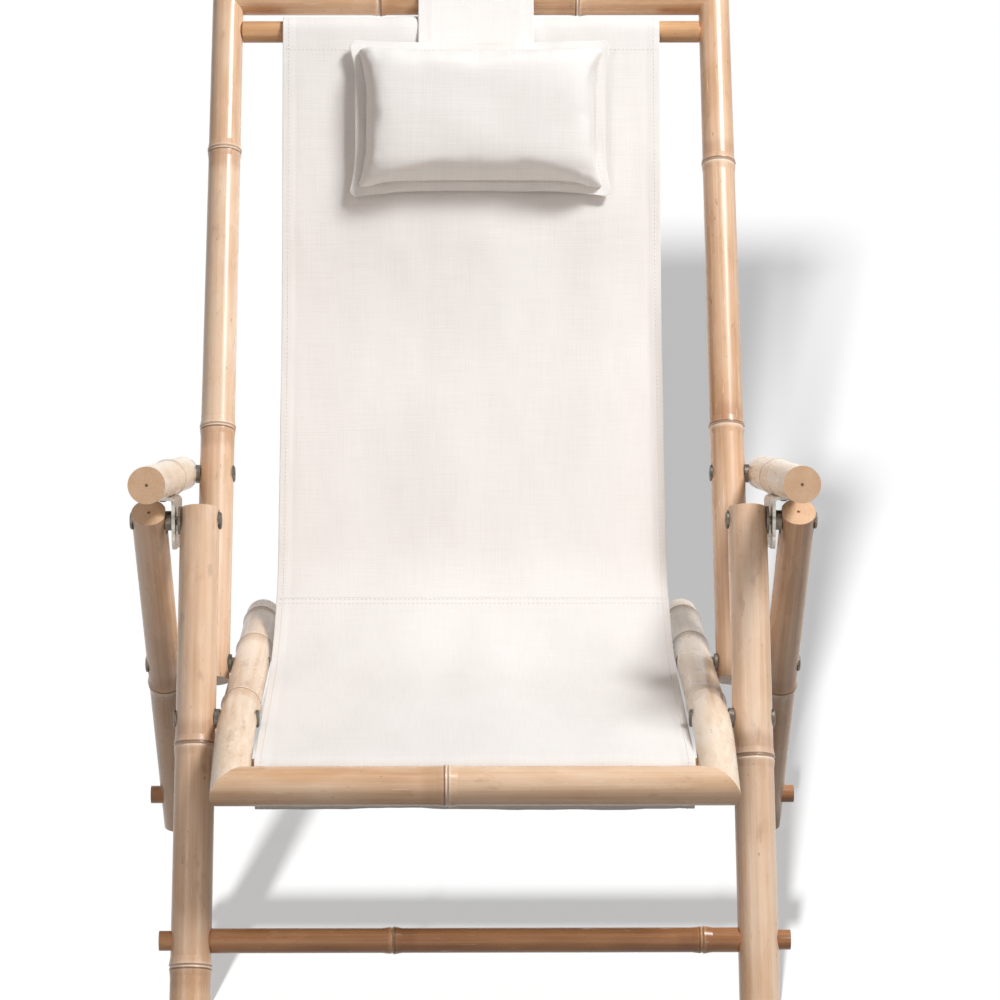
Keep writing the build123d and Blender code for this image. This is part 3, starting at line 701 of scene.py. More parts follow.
@dataclass(frozen=True)
class Hardware:
    """The steel: brackets, bolts, nuts, washers, spacers, pins and screws.

    Attributes:
        bracket_start: How the names of the pressed brackets start.
    """

    bracket_start: str = "arm_bracket"

    def dress(self, nodes: dict[str, Object], names: Iterable[str]) -> None:
        """Give the steel nodes their plating.

        Args:
            nodes: The CAD nodes' objects by name.
            names: Names of the steel nodes.
        """
        bracket = Plating.BRACKET.value.dress()
        fastener = Plating.FASTENER.value.dress()
        for name in names:
            paint(nodes[name], bracket if name.startswith(self.bracket_start) else fastener)


class SidePath:
    """A side-view line of points, in millimetres, with the distance along it.

    Attributes:
        closest: Least distance between two points; a nearer one counts as doubled.
        points: The points (y, z).
        distances: Each point's distance along the line.
    """

    closest: float = 0.2

    def __init__(self, *runs: Iterable[Vector]) -> None:
        """Join runs of points, leave out doubled points and measure the line.

        Args:
            *runs: Runs of points (y, z), each starting where the last one ends.
        """
        self.points: list[Vector] = []
        self.distances: list[float] = []
        for run in runs:
            for point in run:
                step = (point - self.points[-1]).length if self.points else 0.0
                if self.points and step < self.closest:
                    continue
                self.distances.append(self.length + step if self.points else 0.0)
                self.points.append(point)

    @property
    def length(self) -> float:
        """Length of the whole line, in millimetres."""
        return self.distances[-1]

    def normal(self, index: int) -> Vector:
        """Direction square to the line at a point, to the left of its run.

        Args:
            index: Number of the point.

        Returns:
            A direction of length 1.
        """
        before = self.points[max(index - 1, 0)]
        after = self.points[min(index + 1, len(self.points) - 1)]
        run = (after - before).normalized()
        return Vector((-run.y, run.x))


def arc(
    centre: Vector, radius: float, first: float, last: float, step: float = 3.0
) -> list[Vector]:
    """Points of an arc in the side view.

    Args:
        centre: Middle of the arc.
        radius: Radius, in millimetres.
        first: First angle, in radians.
        last: Last angle, in radians.
        step: Spacing of the points, in millimetres.

    Returns:
        The points, both ends included.
    """
    count = max(int(abs(last - first) * radius / step), 4)
    angles = [first + (last - first) * i / count for i in range(count + 1)]
    return [centre + Vector((math.cos(a), math.sin(a))) * radius for a in angles]


def straight(start: Vector, finish: Vector, step: float = 7.0) -> list[Vector]:
    """Points of a straight run in the side view, a step apart, both ends included."""
    count = max(int((finish - start).length / step), 1)
    return [start.lerp(finish, i / count) for i in range(count + 1)]


def rounded_corner(before: Vector, corner: Vector, after: Vector, radius: float) -> list[Vector]:
    """Points of the arc that rounds a corner of the side view.

    Args:
        before: Point that the line comes from.
        corner: The corner.
        after: Point that the line goes to.
        radius: Radius of the arc.

    Returns:
        The arc's points, from its first touching point to its last.
    """
    arriving = (corner - before).normalized()
    leaving = (after - corner).normalized()
    turn = math.atan2(arriving.x * leaving.y - arriving.y * leaving.x, arriving.dot(leaving))
    touch = corner - arriving * radius * math.tan(abs(turn) / 2)
    centre = touch + Vector((-arriving.y, arriving.x)) * math.copysign(radius, turn)
    angle = math.atan2(touch.y - centre.y, touch.x - centre.x)
    return arc(centre, radius, angle, angle + turn, 6.0)


def new_piece(name: str, mesh: bmesh.types.BMesh) -> Object:
    """Turn a bmesh into a smooth object of the scene.

    Args:
        name: Name of the object.
        mesh: The bmesh, which is freed.

    Returns:
        The object.
    """
    for face in mesh.faces:
        face.smooth = True
    data = bpy.data.meshes.new(name)
    mesh.to_mesh(data)
    mesh.free()
    piece = bpy.data.objects.new(name, data)
    bpy.context.scene.collection.objects.link(piece)
    return piece


def apply_modifiers(piece: Object) -> None:
    """Apply all modifiers of a piece to its mesh.

    Args:
        piece: The piece.
    """
    graph = bpy.context.evaluated_depsgraph_get()
    graph.update()
    data = bpy.data.meshes.new_from_object(piece.evaluated_get(graph))
    piece.modifiers.clear()
    old = piece.data
    piece.data = data
    bpy.data.meshes.remove(old)


@dataclass
class ClothWork:
    """Cuts, thickens and sews canvas.

    Attributes:
        canvas: The cloth.
        thread: Material of the sewing thread.
        thickness: Thickness of the cloth.
        side_hem: Width of the hem at each side of a strip.
        pitch: Spacing of the stitches.
        stitch: Length of a stitch.
        stitch_radius: Radius of the thread, drawn thicker than the real 0.2 so that it shows.
        stitch_rise: How far a stitch stands out of the cloth, as a share of its radius.
        grid: Spacing of the grid's columns between the side hems.
        grid_margin: Distance of those columns from the side hems.
        layer_gap: Distance between two layers that lie on each other.
        ridge: Height of the ridge along the inner edge of a side hem.
        ridge_width: Width of that ridge.
        long_ripples: Long ripples per millimetre, across and along a strip.
        short_ripples: Short ripples per millimetre, across and along a strip.
    """

    canvas: CottonCanvas = CottonCanvas()
    thread: Material = field(default_factory=lambda: SewingThread().dress())
    thickness: float = 1.4
    side_hem: float = 12.0
    pitch: float = 4.2
    stitch: float = 2.9
    stitch_radius: float = 0.4
    stitch_rise: float = 0.35
    grid: float = 9.0
    grid_margin: float = 3.0
    layer_gap: float = 1.9
    ridge: float = 0.25
    ridge_width: float = 2.5
    long_ripples: Pair = (0.016, 0.0035)
    short_ripples: Pair = (0.05, 0.016)

    def columns(self, half_width: float) -> list[float]:
        """Places of the grid's columns across a strip, closer at the side hems.

        Args:
            half_width: Half of the strip's width.

        Returns:
            The places from the middle line.
        """
        inner = half_width - self.side_hem - self.grid_margin
        count = int(inner / self.grid)
        right = [inner * i / count for i in range(1, count + 1)]
        # These lie at the hem's inner edge, on its stitches and at the cloth's edge.
        right += [half_width - self.side_hem + step for step in (-1.0, 0.5, self.side_hem / 2)]
        right += [half_width - 1.0, half_width]
        return [-x for x in reversed(right)] + [0.0] + right

    def strip(
        self,
        name: str,
        path: SidePath,
        middle: float,
        half_width: float,
        swell: Sequence[float],
        rows: Sequence[float] = (),
    ) -> Object:
        """Lay a strip of canvas along a side-view line: soft, a little uneven, its side hems sewn.

        Args:
            name: Name of the piece.
            path: Side-view line.
            middle: Place of its middle line across the chair.
            half_width: Half of its width.
            swell: Hollow at the middle, then the height of the long and of the short ripples.
            rows: Distances along the strip of the stitch lines across it.

        Returns:
            The piece, with thickness and UV in metres.
        """
        columns = self.columns(half_width)
        last_column, last_row = len(columns) - 1, len(path.points) - 1
        sewn = {min(range(last_row), key=lambda i: abs(path.distances[i] - row)) for row in rows}
        lines: dict[object, dict[float, tuple[Vector, Vector]]] = {}
        flat: dict[bmesh.types.BMVert, Pair] = {}
        mesh = bmesh.new()
        threads = mesh.loops.layers.uv.new("threads")
        bmesh.ops.create_grid(mesh, x_segments=last_column, y_segments=last_row, size=0.5)
        for vert in mesh.verts:
            x = columns[round((vert.co.x + 0.5) * last_column)]
            row = round((vert.co.y + 0.5) * last_row)
            distance = path.distances[row]
            flat[vert] = (x * MM, distance * MM)
            square = path.normal(row)
            lift = self._lift(x, distance, path, half_width, swell)
            spot = path.points[row] + square * lift
            vert.co = in_frame(middle + x, spot.x, spot.y)
            out = -Vector((0.0, square.x, square.y))
            stitch = (vert.co + out * (self.thickness / 2 * MM), out)
            if math.isclose(abs(x), half_width - self.side_hem / 2):
                lines.setdefault("left" if x > 0 else "right", {})[row] = stitch
            if row in sewn:
                lines.setdefault(row, {})[x] = stitch
        for face in mesh.faces:
            for loop in face.loops:
                loop[threads].uv = flat[loop.vert]
        bmesh.ops.recalc_face_normals(mesh, faces=mesh.faces)
        piece = new_piece(name, mesh)
        solid = piece.modifiers.new("thickness", "SOLIDIFY")
        solid.thickness = self.thickness * MM
        solid.offset = 0.0
        apply_modifiers(piece)
        piece.data.materials.append(self.canvas.dress(name))
        self.sew(piece, [[line[place] for place in sorted(line)] for line in lines.values()])
        return piece

    def _lift(
        self, x: float, distance: float, path: SidePath, half_width: float, swell: Sequence[float]
    ) -> float:
        """Height of the cloth over its side-view line at one place.

        Args:
            x: Place from the strip's middle line.
            distance: Distance along the strip.
            path: Side-view line.
            half_width: Half of the strip's width.
            swell: Hollow at the middle, then the height of the long and of the short ripples.

        Returns:
            The height, in millimetres.
        """
        hollow, long_height, short_height = swell
        share = distance / path.length
        # The cloth is slack in the middle of the strip and held at its sewn ends.
        slack = smooth_step(0.0, 0.14, share) * (1 - smooth_step(0.82, 0.97, share))
        lift = -hollow * (1 - (x / half_width) ** 2) * math.sin(math.pi * share) * slack
        across, along = self.long_ripples
        lift += long_height * slack * noise.noise(Vector((x * across, distance * along, 1.7)))
        across, along = self.short_ripples
        short = noise.noise(Vector((x * across, distance * along, 9.1)))
        lift += short_height * (0.25 + 0.75 * slack) * short
        from_hem = half_width - abs(x) - self.side_hem
        return lift + (self.ridge if 0.0 < from_hem < self.ridge_width else 0.0)

    def sew(self, piece: Object, lines: Iterable[StitchLine]) -> None:
        """Add lines of stitches to a piece's mesh.

        Args:
            piece: The piece.
            lines: Points and outward directions along each line, in metres in the chair's frame.
        """
        mesh = bmesh.new()
        mesh.from_mesh(piece.data)
        slot = len(piece.data.materials)
        size = Vector((self.stitch / 2, self.stitch_radius, self.stitch_radius)) * MM
        rise = self.stitch_radius * self.stitch_rise * MM
        for line in lines:
            spare = 0.0
            for (first, out), (last, _) in zip(line, line[1:]):
                run = last - first
                turn = run.to_track_quat("X", "Z").to_matrix().to_4x4()
                place = self.pitch * MM - spare
                while place <= run.length:
                    middle = first + run * (place / run.length) + out * rise
                    shape = Matrix.Translation(middle) @ turn @ Matrix.Diagonal((*size, 1.0))
                    made = bmesh.ops.create_icosphere(
                        mesh, subdivisions=1, radius=1.0, matrix=shape
                    )
                    for face in {face for vert in made["verts"] for face in vert.link_faces}:
                        face.material_index = slot
                        face.smooth = True
                    place += self.pitch * MM
                spare = run.length - (place - self.pitch * MM)
        mesh.to_mesh(piece.data)
        mesh.free()
        piece.data.materials.append(self.thread)

    def declare(self, piece: Object, flat: Pair, node: str, carrier: str) -> None:
        """Hide the CAD node that a strip stands for.

        Args:
            piece: The strip; not used.
            flat: Width and length that it was cut to, in millimetres; not used.
            node: CAD node that it replaces.
            carrier: CAD node that it hangs from; not used.
        """
        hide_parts(node)


@dataclass
class Sling:
    """The canvas sling: a back panel and a seat panel, sewn together under the sitter's hips.

    Attributes:
        work: Cuts and sews the canvas.
        back_rod: Middle of the upper rod in the side view.
        seat_rod: Middle of the front rod in the side view.
        bow: Corner where the back panel curves forward.
        heel: Corner where the back panel turns into the seat.
        sag: Corner where the seat panel hangs lowest.
        bow_radius: Radius at the bow.
        heel_radius: Radius at the heel.
        sag_radius: Radius at the sag.
        half_width: Half of the sling's width.
        hem_radius: Radius of the cloth round a rod.
        hem_drop: How far the loose front hem hangs under its rod.
        hem_allowance: Length of cloth turned back and sewn at a hem.
        seam_lead: Distance from the end of the heel's bend to the seam.
        seam_lap: Half of the width of the lapped seam.
        lap_rise: How far the seat panel lies over the back panel at the seam.
        head_length: Length under the upper rod that moves with the back alone.
        hem_stitch: Distance of the stitches from the edge of the upper hem.
        seam_rows: Distances of the two rows of stitches from the seam, along the cloth.
        back_swell: Hollow, long ripples and short ripples of the back panel.
        seat_swell: Hollow, long ripples and short ripples of the seat panel.
    """

    work: ClothWork
    back_rod: Vector = field(default_factory=lambda: Vector(BACK_ROD))
    seat_rod: Vector = field(default_factory=lambda: Vector(SEAT_ROD))
    bow: Vector = field(default_factory=lambda: Vector((590.0, 500.0)))
    heel: Vector = field(default_factory=lambda: Vector((445.0, 262.0)))
    sag: Vector = field(default_factory=lambda: Vector((330.0, 216.0)))
    bow_radius: float = 600.0
    heel_radius: float = 110.0
    sag_radius: float = 300.0
    half_width: float = 192.5
    hem_radius: float = 13.4
    hem_drop: float = 20.0
    hem_allowance: float = 38.0
    seam_lead: float = 1.0
    seam_lap: float = 8.0
    lap_rise: float = 1.6
    head_length: float = 190.0
    hem_stitch: float = 6.0
    seam_rows: Pair = (-5.0, 1.0)
    back_swell: Triple = (2.0, 3.6, 0.9)
    seat_swell: Triple = (2.0, 3.0, 0.8)

    def __post_init__(self) -> None:
        """Work out the sling's directions and the places of its top and seam."""
        drop = (self.bow - self.back_rod).normalized()
        self.top = self.back_rod + Vector((drop.y, -drop.x)) * self.hem_radius
        self.down = (self.bow - self.top).normalized()
        self.front = Vector((self.down.y, -self.down.x))
        self.run = (self.sag - self.heel).normalized()
        turn = (self.heel - self.bow).angle(self.run)
        self.seam = self.heel + self.run * (self.heel_radius * math.tan(turn / 2) + self.seam_lead)

    def back_path(self) -> SidePath:
        """Draw the back panel: up behind the rod, over it, down the front and round to the seam.

        Returns:
            The side-view line.
        """
        behind = self.top + self.down * self.hem_allowance - self.front * self.work.layer_gap
        angle = math.atan2(-self.front.y, -self.front.x)
        over = arc(self.back_rod, self.hem_radius, angle, angle + math.pi)
        upper = rounded_corner(over[-1], self.bow, self.heel, self.bow_radius)
        lower = rounded_corner(self.bow, self.heel, self.seam, self.heel_radius)
        return SidePath(
            straight(behind, over[0], 4.0),
            over,
            straight(over[-1], upper[0]),
            upper,
            straight(upper[-1], lower[0]),
            lower,
            straight(lower[-1], self.seam),
        )

    def seat_path(self) -> SidePath:
        """Draw the seat panel: from the seam to the front rod, over it and round its loose hem.

        Returns:
            The side-view line.
        """
        front = self.seat_rod + Vector((0.0, self.hem_radius))
        rise = Vector((self.run.y, -self.run.x)) * self.lap_rise
        lap = self.seam - self.run * self.seam_lap + rise
        bend = rounded_corner(self.seam, self.sag, front, self.sag_radius)
        nose = arc(self.seat_rod, self.hem_radius, math.pi / 2, math.pi)
        low = self.seat_rod - Vector((0.0, self.hem_drop))
        foot = arc(low, self.hem_radius, math.pi, 2 * math.pi)
        # The hem comes up behind the rod and lies a little under the panel where it is sewn.
        behind = self.seat_rod + Vector((self.hem_radius, -4.0))
        tuck = front + Vector((self.hem_allowance, -2.0))
        return SidePath(
            straight(lap, self.seam + self.run * 2.0 + rise, 3.0),
            straight(self.seam + self.run * (self.seam_lap + 4.0), bend[0]),
            bend,
            straight(bend[-1], front),
            nose,
            straight(nose[-1], foot[0]),
            foot,
            straight(foot[-1], behind),
            straight(behind, tuck, 4.0),
        )

    def build(self) -> list[Object]:
        """Build both panels and attach the seat panel to the rear legs.

        Returns:
            The back panel and the seat panel.
        """
        half = self.half_width
        path = self.back_path()
        hem = self.hem_allowance * 2 + math.pi * self.hem_radius - self.hem_stitch
        back = self.work.strip("sling_back_cloth", path, 0.0, half, self.back_swell, (hem,))
        self.work.declare(back, (2 * half, path.length), "sling_back_panel", "back_sling_rod")
        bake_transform(back)

        path = self.seat_path()
        rows = [self.seam_lap + place for place in self.seam_rows]
        seat = self.work.strip("sling_seat_cloth", path, 0.0, half, self.seat_swell, rows)
        self.work.declare(seat, (2 * half, path.length), "sling_seat_panel", "seat_sling_rod")
        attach(seat, "rear_legs")
        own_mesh(seat)
        return [back, seat]


@dataclass
class HeadPillow:
    """The stuffed head pillow with a flat sewn border, and the strap that hangs it on the top rail.

    Attributes:
        sling: The sling that it rests on.
        top_rail: Middle of the top rail in the side view.
        middle_x: Place of its middle across the chair.
        place: Distance of its middle below the sling's top.
        stand_off: Distance of its border's plane from the sling.
        width: Width between the border's corners.
        height: Height between the border's corners.
        border: Width of the border.
        body_inset: Distance of the unfilled body's edge from the border's edge.
        border_cloth: Thickness of the border.
        side_pull: How far the sides pull in between the corners.
        foot_pull: How far the lower side pulls in.
        head_pull: How far the upper side pulls in.
        corner_pull: How far the rounded corners stand back from the square ones.
        front: Fullness in front of the border.
        back: Fullness behind it.
        voxel: Size of the remeshed cloth's faces.
        fill_frames: Number of steps that the filling takes.
        swell_limit: Most that the filling moves a point.
        ironing: Number of rounds that smooth out the creases of the filled cover.
        puckers: Height of the puckers along the seams.
        dents: Height of the dents in the front.
        border_grid: Number of the border's faces across and up.
        border_wave: Height of the border's waves.
        border_curl: How far the border's side at the sitter's right curls forward.
        border_stitch: Distance of the stitches from the border's inner edge.
        strap_x: Place of the strap's middle line.
        strap_half_width: Half of the strap's width.
        strap_radius: Radius of the strap round the top rail.
        strap_wrap: Half turns that the strap takes round the top rail.
        strap_start: Distance of the strap's lower end below the pillow's upper edge.
        strap_depth: Distance of that end behind the border's plane.
        strap_return: Share of the strap's front where its other end meets it.
        strap_swell: Hollow, long ripples and short ripples of the strap.
    """

    sling: Sling
    top_rail: Vector = field(default_factory=lambda: Vector(TOP_RAIL))
    middle_x: float = 9.0
    place: float = 96.0
    stand_off: float = 13.1
    width: float = 272.0
    height: float = 164.0
    border: float = 10.0
    body_inset: float = 1.5
    border_cloth: float = 2.2
    side_pull: float = 9.0
    foot_pull: float = 8.0
    head_pull: float = 3.0
    corner_pull: float = 4.5
    front: float = 27.0
    back: float = 9.4
    voxel: float = 4.2
    fill_frames: int = 20
    swell_limit: float = 7.0
    ironing: int = 8
    puckers: float = 1.3
    dents: float = 1.5
    border_grid: tuple[int, int] = (88, 56)
    border_wave: float = 3.0
    border_curl: float = 5.0
    border_stitch: float = 1.5
    strap_x: float = 5.0
    strap_half_width: float = 59.0
    strap_radius: float = 18.2
    strap_wrap: float = 1.46
    strap_start: float = 14.0
    strap_depth: float = 2.6
    strap_return: float = 0.62
    strap_swell: Triple = (0.0, 0.6, 0.5)

    def __post_init__(self) -> None:
        """Work out the pillow's middle and the frame that lies in its border."""
        sling = self.sling
        self.middle = sling.top + sling.down * self.place + sling.front * self.stand_off
        across = Vector((1.0, 0.0, 0.0))
        up = Vector((0.0, -sling.down.x, -sling.down.y))
        forward = Vector((0.0, sling.front.x, sling.front.y))
        turn = Matrix((across, up, forward)).transposed().to_4x4()
        self.plane = Matrix.Translation(in_frame(self.middle_x, *self.middle)) @ turn

    def build(self) -> list[Object]:
        """Build the strap and the pillow."""
        return [self._strap(), self._cover()]

    def _strap(self) -> Object:
        """Build the strap: up from the pillow, over the top rail and back to itself.

        Returns:
            The strap.
        """
        sling = self.sling
        foot = self.middle - sling.down * (self.height / 2 - self.strap_start)
        foot -= sling.front * self.strap_depth
        angle = math.atan2(sling.front.y, sling.front.x)
        over = arc(self.top_rail, self.strap_radius, angle, angle - self.strap_wrap * math.pi)
        meet = foot.lerp(over[0], self.strap_return) - sling.front * sling.work.layer_gap
        path = SidePath(straight(foot, over[0], 4.0), over, straight(over[-1], meet, 4.0))
        strap = sling.work.strip(
            "pillow_strap_cloth", path, self.strap_x, self.strap_half_width, self.strap_swell
        )
        flat = (2 * self.strap_half_width, path.length)
        sling.work.declare(strap, flat, "pillow_strap", "back_top_rail")
        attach(strap, "back_frame")
        return strap

    def _cover(self) -> Object:
        """Build the stuffed cover with its border and stitches.

        Returns:
            The cover.
        """
        mesh = bmesh.new()
        bmesh.ops.create_cube(mesh, size=2.0)
        bmesh.ops.subdivide_edges(mesh, edges=mesh.edges, cuts=23, use_grid_fill=True)
        for vert in mesh.verts:
            u, v, w = vert.co
            # The back is shallower than when it is filled, and the head fuller than the foot.
            dome = math.sqrt(max((1 - u**8) * (1 - v ** (6 if v > 0 else 4)), 0.0))
            depth = self.front if w > 0 else self.back - 2.0
            spot = self._pulled(u, v, self.body_inset)
            vert.co = Vector((spot.x, spot.y, w * (1.0 + dome * depth))) * MM
        cover = new_piece("pillow_cover", mesh)
        self._fill(cover)
        self._settle(cover)
        self._add_border(cover)
        cover.data.transform(self.plane)
        cover.data.materials.append(self.sling.work.canvas.dress("pillow", self.plane))
        self._sew_border(cover)
        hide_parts("pillow")
        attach(cover, "back_frame")
        return cover

    def _pulled(self, u: float, v: float, inset: float) -> Vector:
        """Place in the border's plane, with the sides pulled in between the corners.

        Args:
            u: Share across, from -1 to 1.
            v: Share up, from -1 to 1.
            inset: Distance of the outline from the border's edge.

        Returns:
            The place (x, y), in millimetres.
        """
        upright = self.foot_pull if v < 0 else self.head_pull
        tip = self.corner_pull * smooth_step(0.93, 1.0, abs(u)) * smooth_step(0.89, 1.0, abs(v))
        x = u * (self.width / 2 - inset - self.side_pull * (1 - v**4) - tip)
        y = v * (self.height / 2 - inset - upright * (1 - u**4) - tip)
        return Vector((x, y))

    def _fill(self, cover: Object) -> None:
        """Fill the cover with a short cloth simulation under pressure.

        Args:
            cover: The cover, in the pillow's own frame.
        """
        remesh = cover.modifiers.new("remesh", "REMESH")
        remesh.mode = "VOXEL"
        remesh.voxel_size = self.voxel * MM
        remesh.use_smooth_shade = True
        apply_modifiers(cover)
        before = [vert.co.copy() for vert in cover.data.vertices]
        cloth = cover.modifiers.new("filling", "CLOTH")
        cloth.settings.use_pressure = True
        cloth.settings.uniform_pressure_force = 4.0
        cloth.settings.tension_stiffness = 18.0
        cloth.settings.bending_stiffness = 0.3
        cloth.settings.effector_weights.gravity = 0.0
        cloth.point_cache.frame_start = 1
        cloth.point_cache.frame_end = self.fill_frames
        scene = bpy.context.scene
        for step in range(1, self.fill_frames + 1):
            scene.frame_set(step)
        apply_modifiers(cover)
        scene.frame_set(1)
        limit = self.swell_limit * MM
        for vert, start in zip(cover.data.vertices, before):
            move = vert.co - start
            if move.length > limit:
                vert.co = start + move * (limit / move.length)
        mesh = bmesh.new()
        mesh.from_mesh(cover.data)
        for _ in range(self.ironing):
            bmesh.ops.smooth_vert(
                mesh,
                verts=mesh.verts,
                factor=0.5,
                use_axis_x=True,
                use_axis_y=True,
                use_axis_z=True,
            )
        mesh.to_mesh(cover.data)
        mesh.free()
        smooth = cover.modifiers.new("smooth", "SUBSURF")
        smooth.levels = 1
        smooth.render_levels = 1
        apply_modifiers(cover)

    def _settle(self, cover: Object) -> None:
        """Rest the cover's back on the sling, pucker its seams and dent its front.

        Args:
            cover: The cover, in the pillow's own frame.
        """
        # Noise runs per metre here: puckers some 12 mm apart and dents some 50 mm wide.
        half_width = (self.width / 2 - self.border) * MM
        half_height = (self.height / 2 - self.border) * MM
        for vert in cover.data.vertices:
            across, up = vert.co.x / half_width, vert.co.y / half_height
            edge = max(abs(across), abs(up))
            along = vert.co.x if abs(up) > abs(across) else vert.co.y
            in_front = vert.co.z > 0
            pucker = smooth_step(0.68, 0.94, edge) * (1 - smooth_step(0.96, 1.03, edge))
            wave = noise.noise(Vector((along * 80.0, edge * 1.5, 4.0 if in_front else 8.0)))
            vert.co.z += self.puckers * MM * pucker * wave * (1.0 if in_front else 0.3)
            dent = noise.noise(Vector((vert.co.x * 17.0, vert.co.y * 22.0, 2.0)))
            if in_front:
                vert.co.z += self.dents * MM * dent * (1 - smooth_step(0.7, 1.0, edge))
            vert.co.z = max(vert.co.z, -self.back * MM)

    def _add_border(self, cover: Object) -> None:
        """Join the flat sewn border to the cover.

        Args:
            cover: The cover, in the pillow's own frame.
        """
        # Distances of the grid's outer lines from the edge; the last one lies inside the body.
        lines = (0.0, 0.7, 3.5, 6.5, self.border, self.border + 7.0)
        last = len(lines) - 1
        halves = (self.width / 2, self.height / 2)
        mesh = bmesh.new()
        bmesh.ops.create_grid(
            mesh, x_segments=self.border_grid[0], y_segments=self.border_grid[1], size=1.0
        )
        inside = set()
        for vert in mesh.verts:
            shares, depths = [], []
            for value, count, half in zip(vert.co, self.border_grid, halves):
                step = round((1 - abs(value)) / 2 * count)
                inset = lines[min(step, last)]
                if step > last:
                    inset += (half - inset) * (step - last) / (count / 2 - last)
                depths.append(step)
                shares.append(math.copysign(1 - inset / half, value))
            if min(depths) >= last:
                inside.add(vert)
            u, v = shares
            spot = self._pulled(u, v, 0.0)
            outer = 1 - smooth_step(0.0, 1.0, min(depths) / last)
            wave = noise.noise(Vector((spot.x * 0.03, spot.y * 0.03, 5.0))) * self.border_wave
            curl = self.border_curl * smooth_step(0.9, 1.0, -u) * (1 - v**2)
            vert.co = Vector((spot.x, spot.y, wave * outer + curl)) * MM
        inner = [face for face in mesh.faces if all(vert in inside for vert in face.verts)]
        bmesh.ops.delete(mesh, geom=inner, context="FACES")
        bmesh.ops.solidify(mesh, geom=mesh.faces[:], thickness=self.border_cloth * MM)
        bmesh.ops.translate(mesh, verts=mesh.verts, vec=(0.0, 0.0, -self.border_cloth / 2 * MM))
        bmesh.ops.recalc_face_normals(mesh, faces=mesh.faces)
        for face in mesh.faces:
            face.smooth = True
        mesh.from_mesh(cover.data)
        mesh.to_mesh(cover.data)
        mesh.free()

    def _sew_border(self, cover: Object) -> None:
        """Sew the border's inner line.

        Args:
            cover: The cover, already in the chair's frame.
        """
        out = self.plane.to_3x3() @ Vector((0.0, 0.0, 1.0))
        inset = self.border - self.border_stitch
        steps = 24
        corners = [Vector(corner) for corner in ((-1, -1), (1, -1), (1, 1), (-1, 1))]
        line = []
        for first, last in zip(corners, corners[1:] + corners[:1]):
            for step in range(steps):
                spot = self._pulled(*first.lerp(last, step / steps), inset)
                point = Vector((spot.x, spot.y, self.border_cloth / 2)) * MM
                line.append((self.plane @ point, out))
        self.sling.work.sew(cover, [line + line[:1]])


def new_light(name: str, kind: str, power: float, place: Vector, direction: Vector) -> Object:
    """Add a light to the scene.

    Args:
        name: Name of the light.
        kind: Blender's type of light.
        power: Power of an area in watts, or strength of a sun.
        place: Where it stands, in metres.
        direction: Way that its light travels.

    Returns:
        The light.
    """
    data = bpy.data.lights.new(name, kind)
    data.energy = power
    light = bpy.data.objects.new(name, data)
    light.location = place
    light.rotation_euler = direction.to_track_quat("-Z", "Y").to_euler()
    bpy.context.scene.collection.objects.link(light)
    return light


@dataclass(frozen=True)
class SoftBox:
    """A soft box of the studio.

    Attributes:
        name: Name of its light.
        place: Where it stands, in metres.
        power: Power, in watts.
        size: Width and height of the box, in metres.
        colour: Colour of its light.
        mirrored: Whether shiny surfaces show it.
    """

    name: str
    place: Triple
    power: float
    size: Pair
    colour: str = "#FFFFFF"
    mirrored: bool = True

    def hang(self, aim: Vector) -> Object:
        """Hang the box in the studio.

        Args:
            aim: Point that it faces, in metres.

        Returns:
            Its light.
        """
        place = Vector(self.place)
        light = new_light(self.name, "AREA", self.power, place, aim - place)
        light.data.color = linear_colour(self.colour)[:3]
        light.data.shape = "RECTANGLE"
        light.data.size, light.data.size_y = self.size
        light.visible_glossy = self.mirrored
        return light


